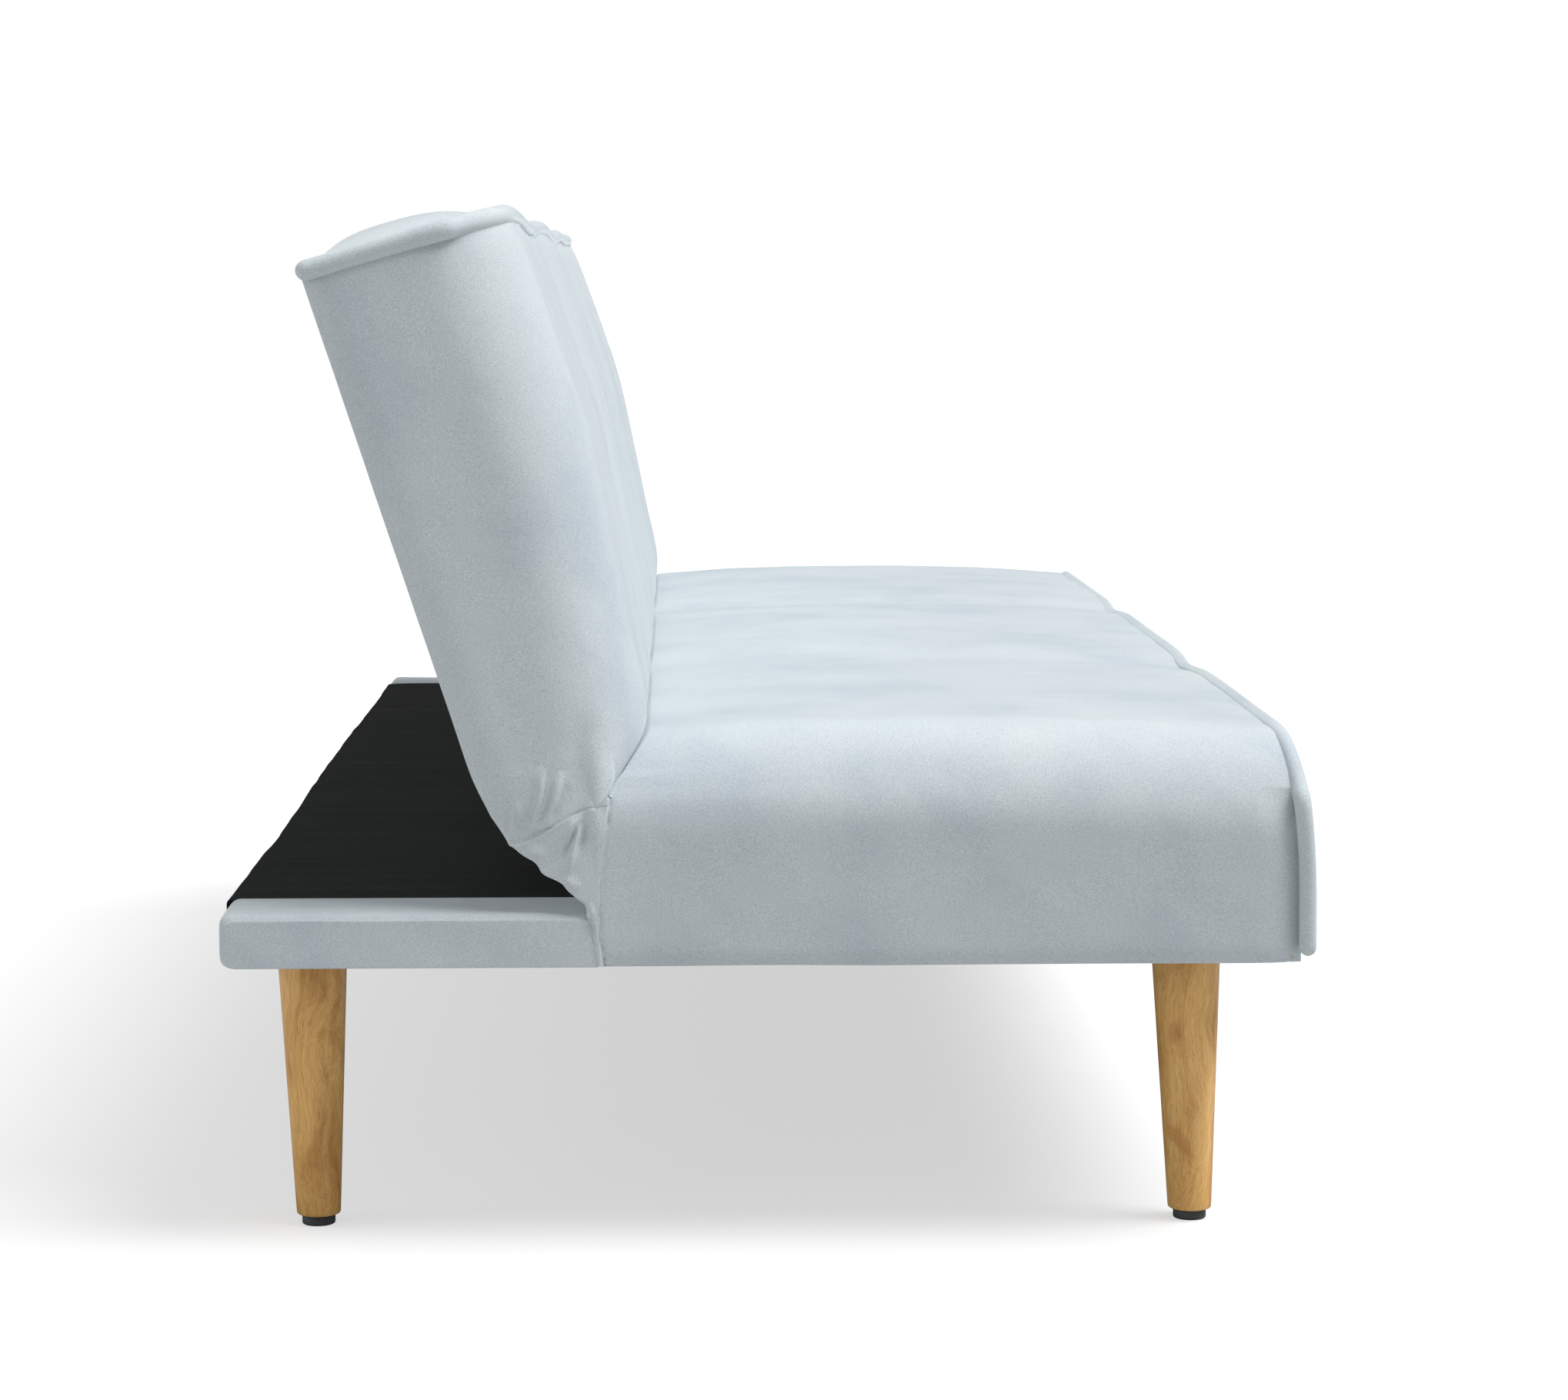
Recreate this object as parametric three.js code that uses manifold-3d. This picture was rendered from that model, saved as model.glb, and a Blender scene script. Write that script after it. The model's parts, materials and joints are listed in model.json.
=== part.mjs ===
import * as THREE from 'three';
import { mergeVertices } from 'three/addons/utils/BufferGeometryUtils.js';
import Module from 'manifold-3d';

// Click clack sofa bed, in millimetres.
// +X runs along the sofa, the front faces -Y and +Z is up. The origin is on the floor, under the
// middle of the sofa. The seat is fixed to a low timber base that reaches back behind it as a flat deck.
// The back turns on two ratchet hinges until its rear face lies on that deck, which makes the bed.

// Whole sofa
const length = 1800;
const depth = 842;
const underside = 215;
const gap = 0.3;
const overrun = 6;

// Base frame
const railHeight = 36;
const hem = 3;
const endRailWidth = 102;
const longRailWidth = 45;
const seatRailWidth = 40;
const seatRailInset = 3;
const centreRailWidth = 60;
const seatCentreRailDrop = 8;

// Covers and piping
const wall = 6.7;
const topCloth = 2;
const rearCloth = 4;
const wrapCornerRadius = 10;
const pipingDiameter = 13.5;
const pipingProud = 3;
const pipingHem = 7;
const pipingCornerRadius = 51;

// Deck lining
const liningThickness = 1;
const liningEnd = 85;
const liningLip = 9;

// Seat
const seatDepth = 551;
const seatHeight = 398;
const seatCrown = 9;
const seatSlopeDepth = 38;
const seatFrontLean = 12.5;
const cushionEndRadius = 55;
const channelDepth = 4;
const channelPull = 4;
const channelWidth = 60;

// Back, measured up its slope and square to its rear face
const backLeanAngle = 18.5;
const pivotBehindSeat = 20;
const pivotBelowSlope = 15.7;
const flatGap = 4;
const backFootRise = 4;
const backLength = 460;
const backThickness = 168;
const backTopFall = 6;
const backTopDome = 20;
const backFootInset = 10;
const backFootRound = 36;
const backSeatClearance = 1;
const backFrameDepth = 40;
const backFrameTopInset = 12;
const backLongRailWidth = 45;
const backEndRailWidth = 30;
const backCentreRailWidth = 45;
const backPanelBorder = 24;

// Springs and webbing
const springWire = 3.6;
const springWidth = 50;
const springPitch = 46;
const springEndInset = 14;
const webbingWidth = 60;
const webbingThickness = 1.6;
const webbingEndInset = 4;

// Dust cover
const dustCoverThickness = 0.8;
const dustCoverInset = 14;
const dustCoverNotch = 3;

// Legs
const legInset = 77;
const rearLegInset = 64;
const frontLegInset = 91;
const legTopDiameter = 54.5;
const legFootDiameter = 34.5;
const legRake = 4;
const legFootBevel = 2;
const glideDiameter = 26;
const glideHeight = 7.8;
const glideBevel = 1.5;
const legPlateLength = 80;
const legPlateWidth = 60;
const legPlateThickness = 2.4;
const legPlateScrewInset = 9;
const studDiameter = 8;
const studLength = 24;

// Hinges
const hingeInset = 37;
const hingePlate = 3;
const hingePinDiameter = 10;
const hingePinHeadDiameter = 18;
const hingePinHeadHeight = 3.3;
const hingeBossRadius = 18;
const seatPlateLength = 86;
const seatPlateBossFrom = -40;
const seatPlateBossTo = 130;
const seatPlateToeHeight = 24;
const seatPlateFlange = 26;
const screwHoleDiameter = 6;
const screwHoleInset = 16;
const ratchetRimRadius = 24;
const ratchetRootRadius = 18;
const ratchetToothWidth = 5;
const ratchetFlankRun = 3.5;
const ratchetShoulder = 12;
const midStopAngle = 36;
const pawlPivotForward = 24;
const pawlPivotRise = 21;
const pawlRivetDiameter = 6;
const pawlBossRadius = 6.5;
const pawlBossFrom = 120;
const pawlBossTo = 345;
const pawlHeight = 6;
const pawlReleaseAngle = 18;
const armStripWidth = 28;
const armStripLength = 190;
const armStripInset = 2;
const armEdge = 9;
const armSpringTop = 58;
const armLugHeight = 3;
const springWindowWidth = 12;
const pocketMargin = 4;
const pawlSpringDiameter = 7;
const pawlSpringWire = 1.2;
const pawlSpringTurns = 5;

// Cloth at the hinge line
const gussetThickness = 1.6;
const gussetSetIn = 2;
const gussetStrip = 3.4;
const flapThickness = 1.6;
const flapLanding = 10;
const flapTab = 8;

// Faces and repeats
const pipingSides = 8;
const pipingCornerSteps = 4;
const pipingSteps = 44;
const springSides = 4;
const springStepsPerWave = 6;
const springCount = 4;
const webbingCount = 3;
const pawlSpringStepsPerTurn = 6;
const pawlSpringSides = 4;
const legSides = 20;
const glideSides = 16;
const holeSides = 12;
const bossSteps = 12;
const toothSteps = 3;
const fullTurn = 360;
const halfTurn = 180;
const quarterTurn = 90;
const pawlBossSteps = 8;
const endSteps = 4;
const wrapCornerSteps = 5;

// Shares of the sizes that they follow
const channelPlaceShares = [-1 / 3, 1 / 3];
const acrossChannelShares = [-1.4, -0.6, 0, 0.6, 1.4];
const seatTopShares = [0.1, 0.28, 0.5, 0.72, 0.9];
const seatFrontShares = [0.9, 0.62, 0.3];
const seatUprightShare = 0.3;
const backDomeShares = [0.16, 0.5, 0.84];
const backFrontShares = [[1, 0.97], [0.93, 0.99], [0.8, 1], [0.62, 1], [0.46, 0.955], [0.3, 0.9],
  [0.17, 0.863]];
const domeEdgePower = 8;
const pivotHeightShare = 0.4974;
const armBoltShares = [0.6, 0.85];

// Colours of the cloth, timber and metal
const matte = (color, roughness) => new THREE.MeshStandardMaterial({ color, roughness, metalness: 0 });
const metal = (color, roughness) => new THREE.MeshStandardMaterial({ color, roughness, metalness: 0.9 });
const velvet = matte(0xb3c4ca, 0.85);
const liningCloth = matte(0x232524, 0.9);
const foam = matte(0xe9e2c4, 0.95);
const pine = matte(0xd4b483, 0.7);
const legWood = matte(0xb98a4e, 0.5);
const glidePlastic = matte(0x3c4244, 0.6);
const elastic = matte(0x4c4a45, 0.9);
const zincSteel = metal(0x8a8f94, 0.35);
const springSteel = metal(0x5e6368, 0.4);

// Places that follow from the sizes above
const frontY = -depth / 2;
const rearY = depth / 2;
const endFace = length / 2 - pipingProud;
const railEnd = endFace - wall - gap;
const railBottom = underside + hem;
const railTop = railBottom + railHeight;
const deckTop = railTop + gap + topCloth;
const railRear = rearY - liningThickness - gap - rearCloth - gap;
const pipingRadius = pipingDiameter / 2;
const pipingSeat = pipingRadius - pipingProud;
const seatFace = frontY + pipingDiameter - pipingProud;
const railFront = seatFace + wall + gap;
const seatRear = frontY + seatDepth;
const seatUpright = underside + (seatHeight - seatCrown - underside) * seatUprightShare;
const seatRailRear = seatRear - wall - gap - seatRailInset;
const seatEdge = seatHeight - seatCrown;
const foamBottom = railTop + gap + Math.max(springWire, hingePlate) + gap;
const pivotY = seatRear + pivotBehindSeat;
const pivotZ = deckTop + (seatEdge - deckTop) * pivotHeightShare;
const slopeFoot = pivotZ + pivotBelowSlope;
const lean = THREE.MathUtils.degToRad(backLeanAngle);
const backRear = pivotZ - deckTop - flatGap;
const backTop = backFootRise + backLength;
const frameRear = backRear - wall - gap;
const frameFront = frameRear - backFrameDepth;
const frameFoot = backFootRise + backFootRound;
const frameTop = backTop - backTopFall - wall - backFrameTopInset;
const plateOuter = endFace - hingeInset;
const ratchetOuter = plateOuter - hingePlate - gap;
const armOuter = ratchetOuter - hingePlate - gap;
const armInner = armOuter - hingePlate;
const backRailOuter = armInner - gap;

const wasm = await Module();
wasm.setup();

// Solids, cuts and joins

function asSolid(geometry) {
  const bare = geometry.clone();
  bare.deleteAttribute('normal');
  bare.deleteAttribute('uv');
  const merged = mergeVertices(bare);
  return new wasm.Manifold(new wasm.Mesh({
    numProp: 3,
    vertProperties: new Float32Array(merged.attributes.position.array),
    triVerts: new Uint32Array(merged.index.array),
  }));
}

function asGeometry(solid) {
  const mesh = solid.getMesh();
  const geometry = new THREE.BufferGeometry();
  geometry.setAttribute('position', new THREE.Float32BufferAttribute(mesh.vertProperties, mesh.numProp));
  geometry.setIndex(Array.from(mesh.triVerts));
  const faceted = geometry.toNonIndexed();
  faceted.computeVertexNormals();
  return faceted;
}

function cut(geometry, ...tools) {
  return asGeometry(tools.reduce((left, tool) => left.subtract(asSolid(tool)), asSolid(geometry)));
}

function join(geometry, ...others) {
  return asGeometry(others.reduce((sum, other) => sum.add(asSolid(other)), asSolid(geometry)));
}

function box([x0, x1], [y0, y1], [z0, z1]) {
  const geometry = new THREE.BoxGeometry(x1 - x0, y1 - y0, z1 - z0);
  return geometry.translate((x0 + x1) / 2, (y0 + y1) / 2, (z0 + z1) / 2);
}

// A range of X on the left side (-1) or the right side (1), from distances to the middle
function onSide(side, inner, outer) {
  return side > 0 ? [inner, outer] : [-outer, -inner];
}

function circle(radius, sides = holeSides) {
  return Array.from({ length: sides }, (_, i) => {
    const angle = (2 * Math.PI * (i + 0.5)) / sides;
    return new THREE.Vector2(radius * Math.cos(angle), radius * Math.sin(angle));
  });
}

// Points of an arc round a centre, from one angle in degrees to another
function arc([cy, cz], radius, from, to, steps = bossSteps) {
  return Array.from({ length: steps + 1 }, (_, i) => {
    const angle = THREE.MathUtils.degToRad(from + ((to - from) * i) / steps);
    return [cy + radius * Math.cos(angle), cz + radius * Math.sin(angle)];
  });
}

function outline(points, holes = []) {
  const shape = new THREE.Shape(points.map((p) => new THREE.Vector2(...p)));
  shape.holes = holes.map(([y, z, radius]) => new THREE.Path(
    circle(radius).map((p) => p.add(new THREE.Vector2(y, z)))));
  return shape;
}

// The shape's coordinates become Y and Z, and its thickness runs along X
function acrossX(shape, [x0, x1]) {
  const geometry = new THREE.ExtrudeGeometry(shape, { depth: x1 - x0, bevelEnabled: false });
  const axes = [[0, 1, 0], [0, 0, 1], [1, 0, 0]].map((axis) => new THREE.Vector3(...axis));
  return geometry.applyMatrix4(new THREE.Matrix4().makeBasis(...axes)).translate(x0, 0, 0);
}

function acrossZ(shape, [z0, z1]) {
  return new THREE.ExtrudeGeometry(shape, { depth: z1 - z0, bevelEnabled: false }).translate(0, 0, z0);
}

function rodAlongX(radius, spanX, y, z, sides = holeSides) {
  return acrossX(new THREE.Shape(circle(radius, sides)), spanX).translate(0, y, z);
}

function rodAlongZ(radius, spanZ, x, y, sides = holeSides) {
  return acrossZ(new THREE.Shape(circle(radius, sides)), spanZ).translate(x, y, 0);
}

function turnedAlongZ(profile, sides) {
  const points = profile.map((p) => new THREE.Vector2(...p));
  return new THREE.LatheGeometry(points, sides).rotateX(Math.PI / 2);
}

function tube(points, radius, steps, sides) {
  const path = new THREE.CatmullRomCurve3(points.map((p) => new THREE.Vector3(...p)), false, 'centripetal');
  const section = new THREE.Shape(circle(radius, sides));
  return new THREE.ExtrudeGeometry(section, { steps, extrudePath: path, bevelEnabled: false });
}

// A closed skin through sections in planes across X, from the left end to the right end. Each
// section is a list of [y, z], counterclockwise as seen from the right.
function loft(stations, sectionAt) {
  const sections = stations.map(sectionAt);
  const count = sections[0].length;
  const positions = sections.flatMap((section, i) => section.flatMap(([y, z]) => [stations[i], y, z]));
  const indices = [];
  for (let i = 0; i + 1 < sections.length; i++) {
    for (let j = 0; j < count; j++) {
      const [a, b] = [i * count + j, i * count + ((j + 1) % count)];
      indices.push(a, b, b + count, a, b + count, a + count);
    }
  }
  for (const index of [0, sections.length - 1]) {
    const middle = [0, 1].map((axis) => sections[index].reduce((sum, p) => sum + p[axis] / count, 0));
    const hub = positions.push(stations[index], ...middle) / 3 - 1;
    for (let j = 0; j < count; j++) {
      const rim = [index * count + j, index * count + ((j + 1) % count)];
      indices.push(hub, ...(index > 0 ? rim : rim.reverse()));
    }
  }
  const geometry = new THREE.BufferGeometry();
  geometry.setAttribute('position', new THREE.Float32BufferAttribute(positions, 3));
  geometry.setIndex(indices);
  return geometry;
}

// A thin strip of cloth along a line of [y, z], as a closed outline
function ribbon(points, thickness) {
  const half = points.map(([y, z], i) => {
    const [before, after] = [points[Math.max(i - 1, 0)], points[Math.min(i + 1, points.length - 1)]];
    const along = new THREE.Vector2(after[0] - before[0], after[1] - before[1]).normalize();
    return [y, z, -along.y * thickness / 2, along.x * thickness / 2];
  });
  const near = half.map(([y, z, dy, dz]) => [y + dy, z + dz]);
  const far = half.map(([y, z, dy, dz]) => [y - dy, z - dz]);
  return outline([...far, ...near.reverse()]);
}

// The leaning back has its own Y and Z: Y square to its rear face and Z up its slope, from the pivot
const sofa = new THREE.Group();
const back = new THREE.Group();
back.position.set(0, pivotY, pivotZ);
back.rotation.x = -lean;
sofa.add(back);

function toBack([y, z]) {
  const [dy, dz] = [y - pivotY, z - pivotZ];
  return [dy * Math.cos(lean) - dz * Math.sin(lean), dy * Math.sin(lean) + dz * Math.cos(lean)];
}

function fromBack([y, z]) {
  return [pivotY + y * Math.cos(lean) + z * Math.sin(lean), pivotZ - y * Math.sin(lean) + z * Math.cos(lean)];
}

function place(group, name, geometry, material) {
  const mesh = new THREE.Mesh(geometry, material);
  mesh.name = name;
  group.add(mesh);
}

const sides = [['left', -1], ['right', 1]];

// Base frame

const legPlaces = sides.flatMap(([name, side]) => [
  [`front_${name}`, side * (endFace - legInset), frontY + frontLegInset],
  [`rear_${name}`, side * (endFace - legInset), rearY - rearLegInset],
]);

function makeBaseFrame() {
  const high = [railBottom, railTop];
  const inner = railEnd - endRailWidth - gap;
  const studTop = underside + studLength + gap;
  for (const [name, side] of sides) {
    const span = onSide(side, inner + gap, railEnd);
    const holes = legPlaces.filter(([, x]) => x * side > 0).map(
      ([, x, y]) => rodAlongZ(studDiameter / 2 + gap, [railBottom - overrun, studTop], x, y));
    place(sofa, `base_end_rail_${name}`, cut(box(span, [railFront, railRear], high), ...holes), pine);
  }
  const across = [-inner, inner];
  const seatRail = [seatRailRear - seatRailWidth, seatRailRear];
  const frontRail = [railFront, railFront + longRailWidth];
  const rearRail = [railRear - longRailWidth, railRear];
  place(sofa, 'base_front_rail', box(across, frontRail, high), pine);
  place(sofa, 'base_rear_rail', box(across, rearRail, high), pine);
  place(sofa, 'base_seat_rail', box(across, seatRail, high), pine);
  const centre = [-centreRailWidth / 2, centreRailWidth / 2];
  const low = [railBottom, railTop - seatCentreRailDrop];
  place(sofa, 'base_seat_centre_rail', box(centre, [frontRail[1] + gap, seatRail[0] - gap], low), pine);
  place(sofa, 'base_deck_centre_rail', box(centre, [seatRail[1] + gap, rearRail[0] - gap], high), pine);
}

function makeDeckCloth() {
  const liningHalf = length / 2 - liningEnd;
  const [low, high] = [railTop + gap, railTop + gap + liningThickness];
  const lipFront = rearY - liningThickness;
  const lipFoot = low - liningLip;
  const profile = [[seatRear + gap, low], [lipFront, low], [lipFront, lipFoot], [rearY, lipFoot],
    [rearY, high], [seatRear + gap, high]];
  place(sofa, 'deck_lining', acrossX(outline(profile), [-liningHalf, liningHalf]), liningCloth);
  const wrapFront = seatRear + gap + gussetStrip + gap;
  for (const [name, side] of sides) {
    const [inner, outer, radius] = [liningHalf + gap, endFace, wrapCornerRadius];
    const plan = new THREE.Shape([new THREE.Vector2(inner, wrapFront), new THREE.Vector2(outer, wrapFront)]);
    plan.lineTo(outer, rearY - radius);
    plan.absarc(outer - radius, rearY - radius, radius, 0, Math.PI / 2, false);
    plan.lineTo(inner, rearY);
    const whole = new THREE.ExtrudeGeometry(plan, {
      depth: deckTop - underside, bevelEnabled: false, curveSegments: wrapCornerSteps,
    }).translate(0, 0, underside);
    const core = box([inner - overrun, railEnd + gap], [wrapFront - overrun, railRear + gap],
      [underside - overrun, railTop + gap]);
    const block = cut(whole, core);
    place(sofa, `deck_wrap_${name}`, side > 0 ? block : mirrored(block), velvet);
  }
  const rear = [railRear + gap, railRear + gap + rearCloth];
  place(sofa, 'deck_rear_cloth', box([-liningHalf, liningHalf], rear, [underside, railTop]), velvet);
}

function mirrored(geometry) {
  const copy = geometry.clone().scale(-1, 1, 1);
  const position = copy.attributes.position;
  for (let i = 0; i < position.count; i += 3) {
    const [a, b] = [i + 1, i + 2].map((k) => new THREE.Vector3().fromBufferAttribute(position, k));
    position.setXYZ(i + 1, ...b);
    position.setXYZ(i + 2, ...a);
  }
  copy.computeVertexNormals();
  return copy;
}

// Legs, their plates and their glides

function makeLegs() {
  const plateLevel = [railBottom - gap - legPlateThickness, railBottom - gap];
  const legTop = plateLevel[0] - gap;
  const legFoot = glideHeight + gap;
  const [footRadius, topRadius, studRadius] = [legFootDiameter / 2, legTopDiameter / 2, studDiameter / 2];
  const studTop = underside + studLength;
  const profile = [[0, legFoot], [footRadius - legFootBevel, legFoot], [footRadius, legFoot + legFootBevel],
    [topRadius, legTop], [studRadius, legTop], [studRadius, studTop], [0, studTop]];
  const glide = [[0, 0], [glideDiameter / 2 - glideBevel, 0], [glideDiameter / 2, glideBevel],
    [glideDiameter / 2, glideHeight], [0, glideHeight]];
  const screwX = legPlateWidth / 2 - legPlateScrewInset;
  const screwY = legPlateLength / 2 - legPlateScrewInset;
  for (const [name, x, y] of legPlaces) {
    const leg = turnedAlongZ(profile, legSides);
    const position = leg.attributes.position;
    for (let i = 0; i < position.count; i++) {
      const down = Math.max(0, legTop - position.getZ(i)) / (legTop - legFoot);
      position.setY(i, position.getY(i) - legRake * down);
    }
    place(sofa, `leg_${name}`, leg.translate(x, y, 0), legWood);
    place(sofa, `glide_${name}`, turnedAlongZ(glide, glideSides).translate(x, y - legRake, 0), glidePlastic);
    const [halfX, halfY] = [legPlateWidth / 2, legPlateLength / 2];
    const plate = outline([[-halfX, -halfY], [halfX, -halfY], [halfX, halfY], [-halfX, halfY]],
      [[0, 0, studRadius + gap], ...[[-1, -1], [1, -1], [1, 1], [-1, 1]].map(
        ([a, b]) => [a * screwX, b * screwY, screwHoleDiameter / 2])]);
    place(sofa, `leg_plate_${name}`, acrossZ(plate, plateLevel).translate(x, y, 0), zincSteel);
  }
}

function makeDustCover() {
  const [halfX, top] = [railEnd - dustCoverInset, railBottom - gap];
  const spanY = [railFront + dustCoverInset, railRear - dustCoverInset];
  const level = [top - dustCoverThickness, top];
  const notches = legPlaces.map(([, x, y]) => box(
    [x - legPlateWidth / 2 - dustCoverNotch, x + legPlateWidth / 2 + dustCoverNotch],
    [y - legPlateLength / 2 - dustCoverNotch, y + legPlateLength / 2 + dustCoverNotch],
    [underside - overrun, railTop]));
  place(sofa, 'dust_cover', cut(box([-halfX, halfX], spanY, level), ...notches), liningCloth);
}

// Cushions

// How much the cover is drawn in at a place along the sofa, from 0 to 1
function drawIn(x) {
  return channelPlaceShares.reduce((sum, share) => {
    const away = (x - (share * length) / 2) / channelWidth;
    return sum + Math.exp(-away * away);
  }, 0);
}

// Places along the sofa where a cushion has its sections, closest at the channels and round ends
function cushionStations(inset) {
  const [end, radius] = [endFace - inset, cushionEndRadius - inset];
  const channel = (Math.max(...channelPlaceShares) * length) / 2;
  const right = acrossChannelShares.map((share) => channel + share * channelWidth);
  right.push((channel + end) / 2);
  for (let i = 0; i <= endSteps; i++) {
    right.push(end - radius * (1 - Math.sin((Math.PI * i) / (2 * endSteps))));
  }
  return [...right.map((x) => -x).reverse(), 0, ...right];
}

// How far a cushion's face falls back at its rounded end
function endFall(x, inset) {
  const radius = cushionEndRadius - inset;
  const into = Math.min(radius, Math.max(0, Math.abs(x) - (endFace - inset - radius)));
  return radius - Math.sqrt(radius * radius - into * into);
}

// How much of its lean the seat's front face has at a height, from 0 to 1
function seatLean(z) {
  return (Math.max(0, z - seatUpright) / (seatEdge - seatUpright)) ** 2;
}

// The seat's section, from its lower rear corner. Inset sections are the hollow in the cover and the
// foam that fills it: they keep below the channels all along.
function seatSection(x, inset, bottom) {
  const pulled = inset > 0 ? 1 : drawIn(x);
  const top = seatEdge - inset;
  const squeeze = 1 - endFall(x, inset) / (seatHeight - underside);
  const up = (z) => underside + (z - underside) * squeeze;
  const rear = seatRear - inset;
  const sunk = channelDepth * pulled;
  const frontAt = (z) => [seatFace + inset + (seatFrontLean + channelPull * pulled) * seatLean(z), z];
  const frontEdge = frontAt(up(top - sunk));
  // The rear slope is one plane all along, so a lower top meets it further back
  const slope = seatSlopeDepth / (seatEdge - slopeFoot);
  const slopeInset = inset * Math.hypot(1, slope);
  const slopeTop = seatRear - slopeInset - slope * (up(top - sunk) - slopeFoot);
  const footFall = (slopeInset - inset) / slope;
  const points = [[rear, bottom], [rear, slopeFoot - footFall], [slopeTop, up(top - sunk)]];
  for (const share of seatTopShares) {
    const bulge = 1 - (2 * share - 1) ** 2;
    points.push([slopeTop + (frontEdge[0] - slopeTop) * share, up(top - sunk + seatCrown * bulge)]);
  }
  points.push(frontEdge);
  for (const share of seatFrontShares) {
    points.push(frontAt(up(underside + (top - underside) * share)));
  }
  points.push([seatFace + inset, bottom]);
  return points;
}

// The back's section, from its lower rear corner, in the back's own Y and Z
function backSection(x, inset) {
  const pulled = inset > 0 ? 1 : drawIn(x);
  const squeeze = 1 - endFall(x, inset) / backThickness;
  const forward = (y) => backRear - (backRear - y) * squeeze;
  const rear = backRear - inset;
  const top = backTop - inset;
  const across = backThickness * backFrontShares[0][1] - 2 * inset - channelDepth * pulled;
  const fallAt = (y) => (backTopFall * (backRear - y)) / backThickness;
  const dome = backTopDome * (1 - Math.min(1, Math.abs(x) / endFace) ** domeEdgePower);
  const foot = [rear - backFootInset, backFootRise + inset];
  const points = [foot, [rear, backFootRise + backFootRound], [rear, top]];
  for (const share of backDomeShares) {
    const bulge = 1 - (2 * share - 1) ** 2;
    const y = forward(rear - across * share);
    points.push([y, top - fallAt(y) + dome * bulge]);
  }
  for (const [height, thick] of backFrontShares) {
    const y = forward(backRear - backThickness * thick + inset + channelDepth * pulled);
    const edge = height === 1 ? fallAt(y) + inset + channelPull * pulled : 0;
    points.push([y, backFootRise + backLength * height - edge]);
  }
  // The foot's slope lies along the seat's rear slope
  const slope = new THREE.Vector2(seatEdge - slopeFoot, seatSlopeDepth).normalize().multiplyScalar(
    backSeatClearance + inset);
  const creaseAt = toBack([seatRear - seatSlopeDepth + slope.x, seatEdge + slope.y]);
  const footAt = toBack([seatRear + slope.x, slopeFoot + slope.y]);
  const creaseY = forward(creaseAt[0] + channelDepth * pulled);
  const down = (creaseY - creaseAt[0]) / (footAt[0] - creaseAt[0]);
  points.push([creaseY, creaseAt[1] + (footAt[1] - creaseAt[1]) * down], footAt);
  return points;
}

// A piping line in three numbers: along the sofa, up the cushion's side and out of its face. It rises
// at one end, turns the corner, runs along the edge and comes down at the other end.
function pipingLine(start, rise, outAt) {
  const along = length / 2 - pipingRadius;
  const radius = pipingCornerRadius;
  const middle = (start + rise - radius) / 2;
  const side = [[along, start, outAt(start)], [along, middle, outAt(middle)]];
  for (let i = 0; i <= pipingCornerSteps; i++) {
    const angle = (Math.PI * i) / (2 * pipingCornerSteps);
    const up = rise - radius * (1 - Math.sin(angle));
    side.push([along - radius * (1 - Math.cos(angle)), up, outAt(up)]);
  }
  const channel = (Math.max(...channelPlaceShares) * length) / 2;
  const edge = [...acrossChannelShares].reverse().map((share) => channel + share * channelWidth);
  for (const x of [(channel + along) / 2, ...edge]) {
    side.push([x, rise - channelDepth * drawIn(x), outAt(rise) - channelPull * drawIn(x)]);
  }
  const mirror = side.map(([x, up, out]) => [-x, up, out]).reverse();
  return [...side, [0, rise, outAt(rise)], ...mirror];
}

function makeSeat() {
  const cavityBottom = underside - overrun;
  const skin = loft(cushionStations(0), (x) => seatSection(x, 0, underside));
  const hollow = loft(cushionStations(wall), (x) => seatSection(x, wall, cavityBottom));
  const overDeck = box([-railEnd - gap, railEnd + gap], [seatRear - wall - overrun, seatRear + overrun],
    [cavityBottom, railTop + gap]);
  const frontAt = (up) => pipingSeat - seatFace - seatFrontLean * seatLean(up);
  const line = pipingLine(cavityBottom, seatEdge - pipingSeat, frontAt).map(([x, up, out]) => [x, -out, up]);
  const groove = tube(line, pipingRadius + gap, pipingSteps, pipingSides);
  const belowHem = box([-length, length], [frontY - overrun, rearY],
    [cavityBottom - overrun, underside + pipingHem]);
  const slits = sides.map(([, side]) => acrossX(seatPlateWeb(gap),
    onSide(side, plateOuter - hingePlate - gap, plateOuter + gap)));
  place(sofa, 'seat_cover', cut(skin, hollow, overDeck, groove, ...slits), velvet);
  const filling = loft(cushionStations(wall + gap), (x) => seatSection(x, wall + gap, cavityBottom));
  const belowFoam = box([-endFace, endFace], [frontY, rearY], [cavityBottom - overrun, foamBottom]);
  place(sofa, 'seat_foam', cut(filling, belowFoam, ...slits), foam);
  place(sofa, 'seat_piping', cut(tube(line, pipingRadius, pipingSteps, pipingSides), belowHem), velvet);
}

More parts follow.
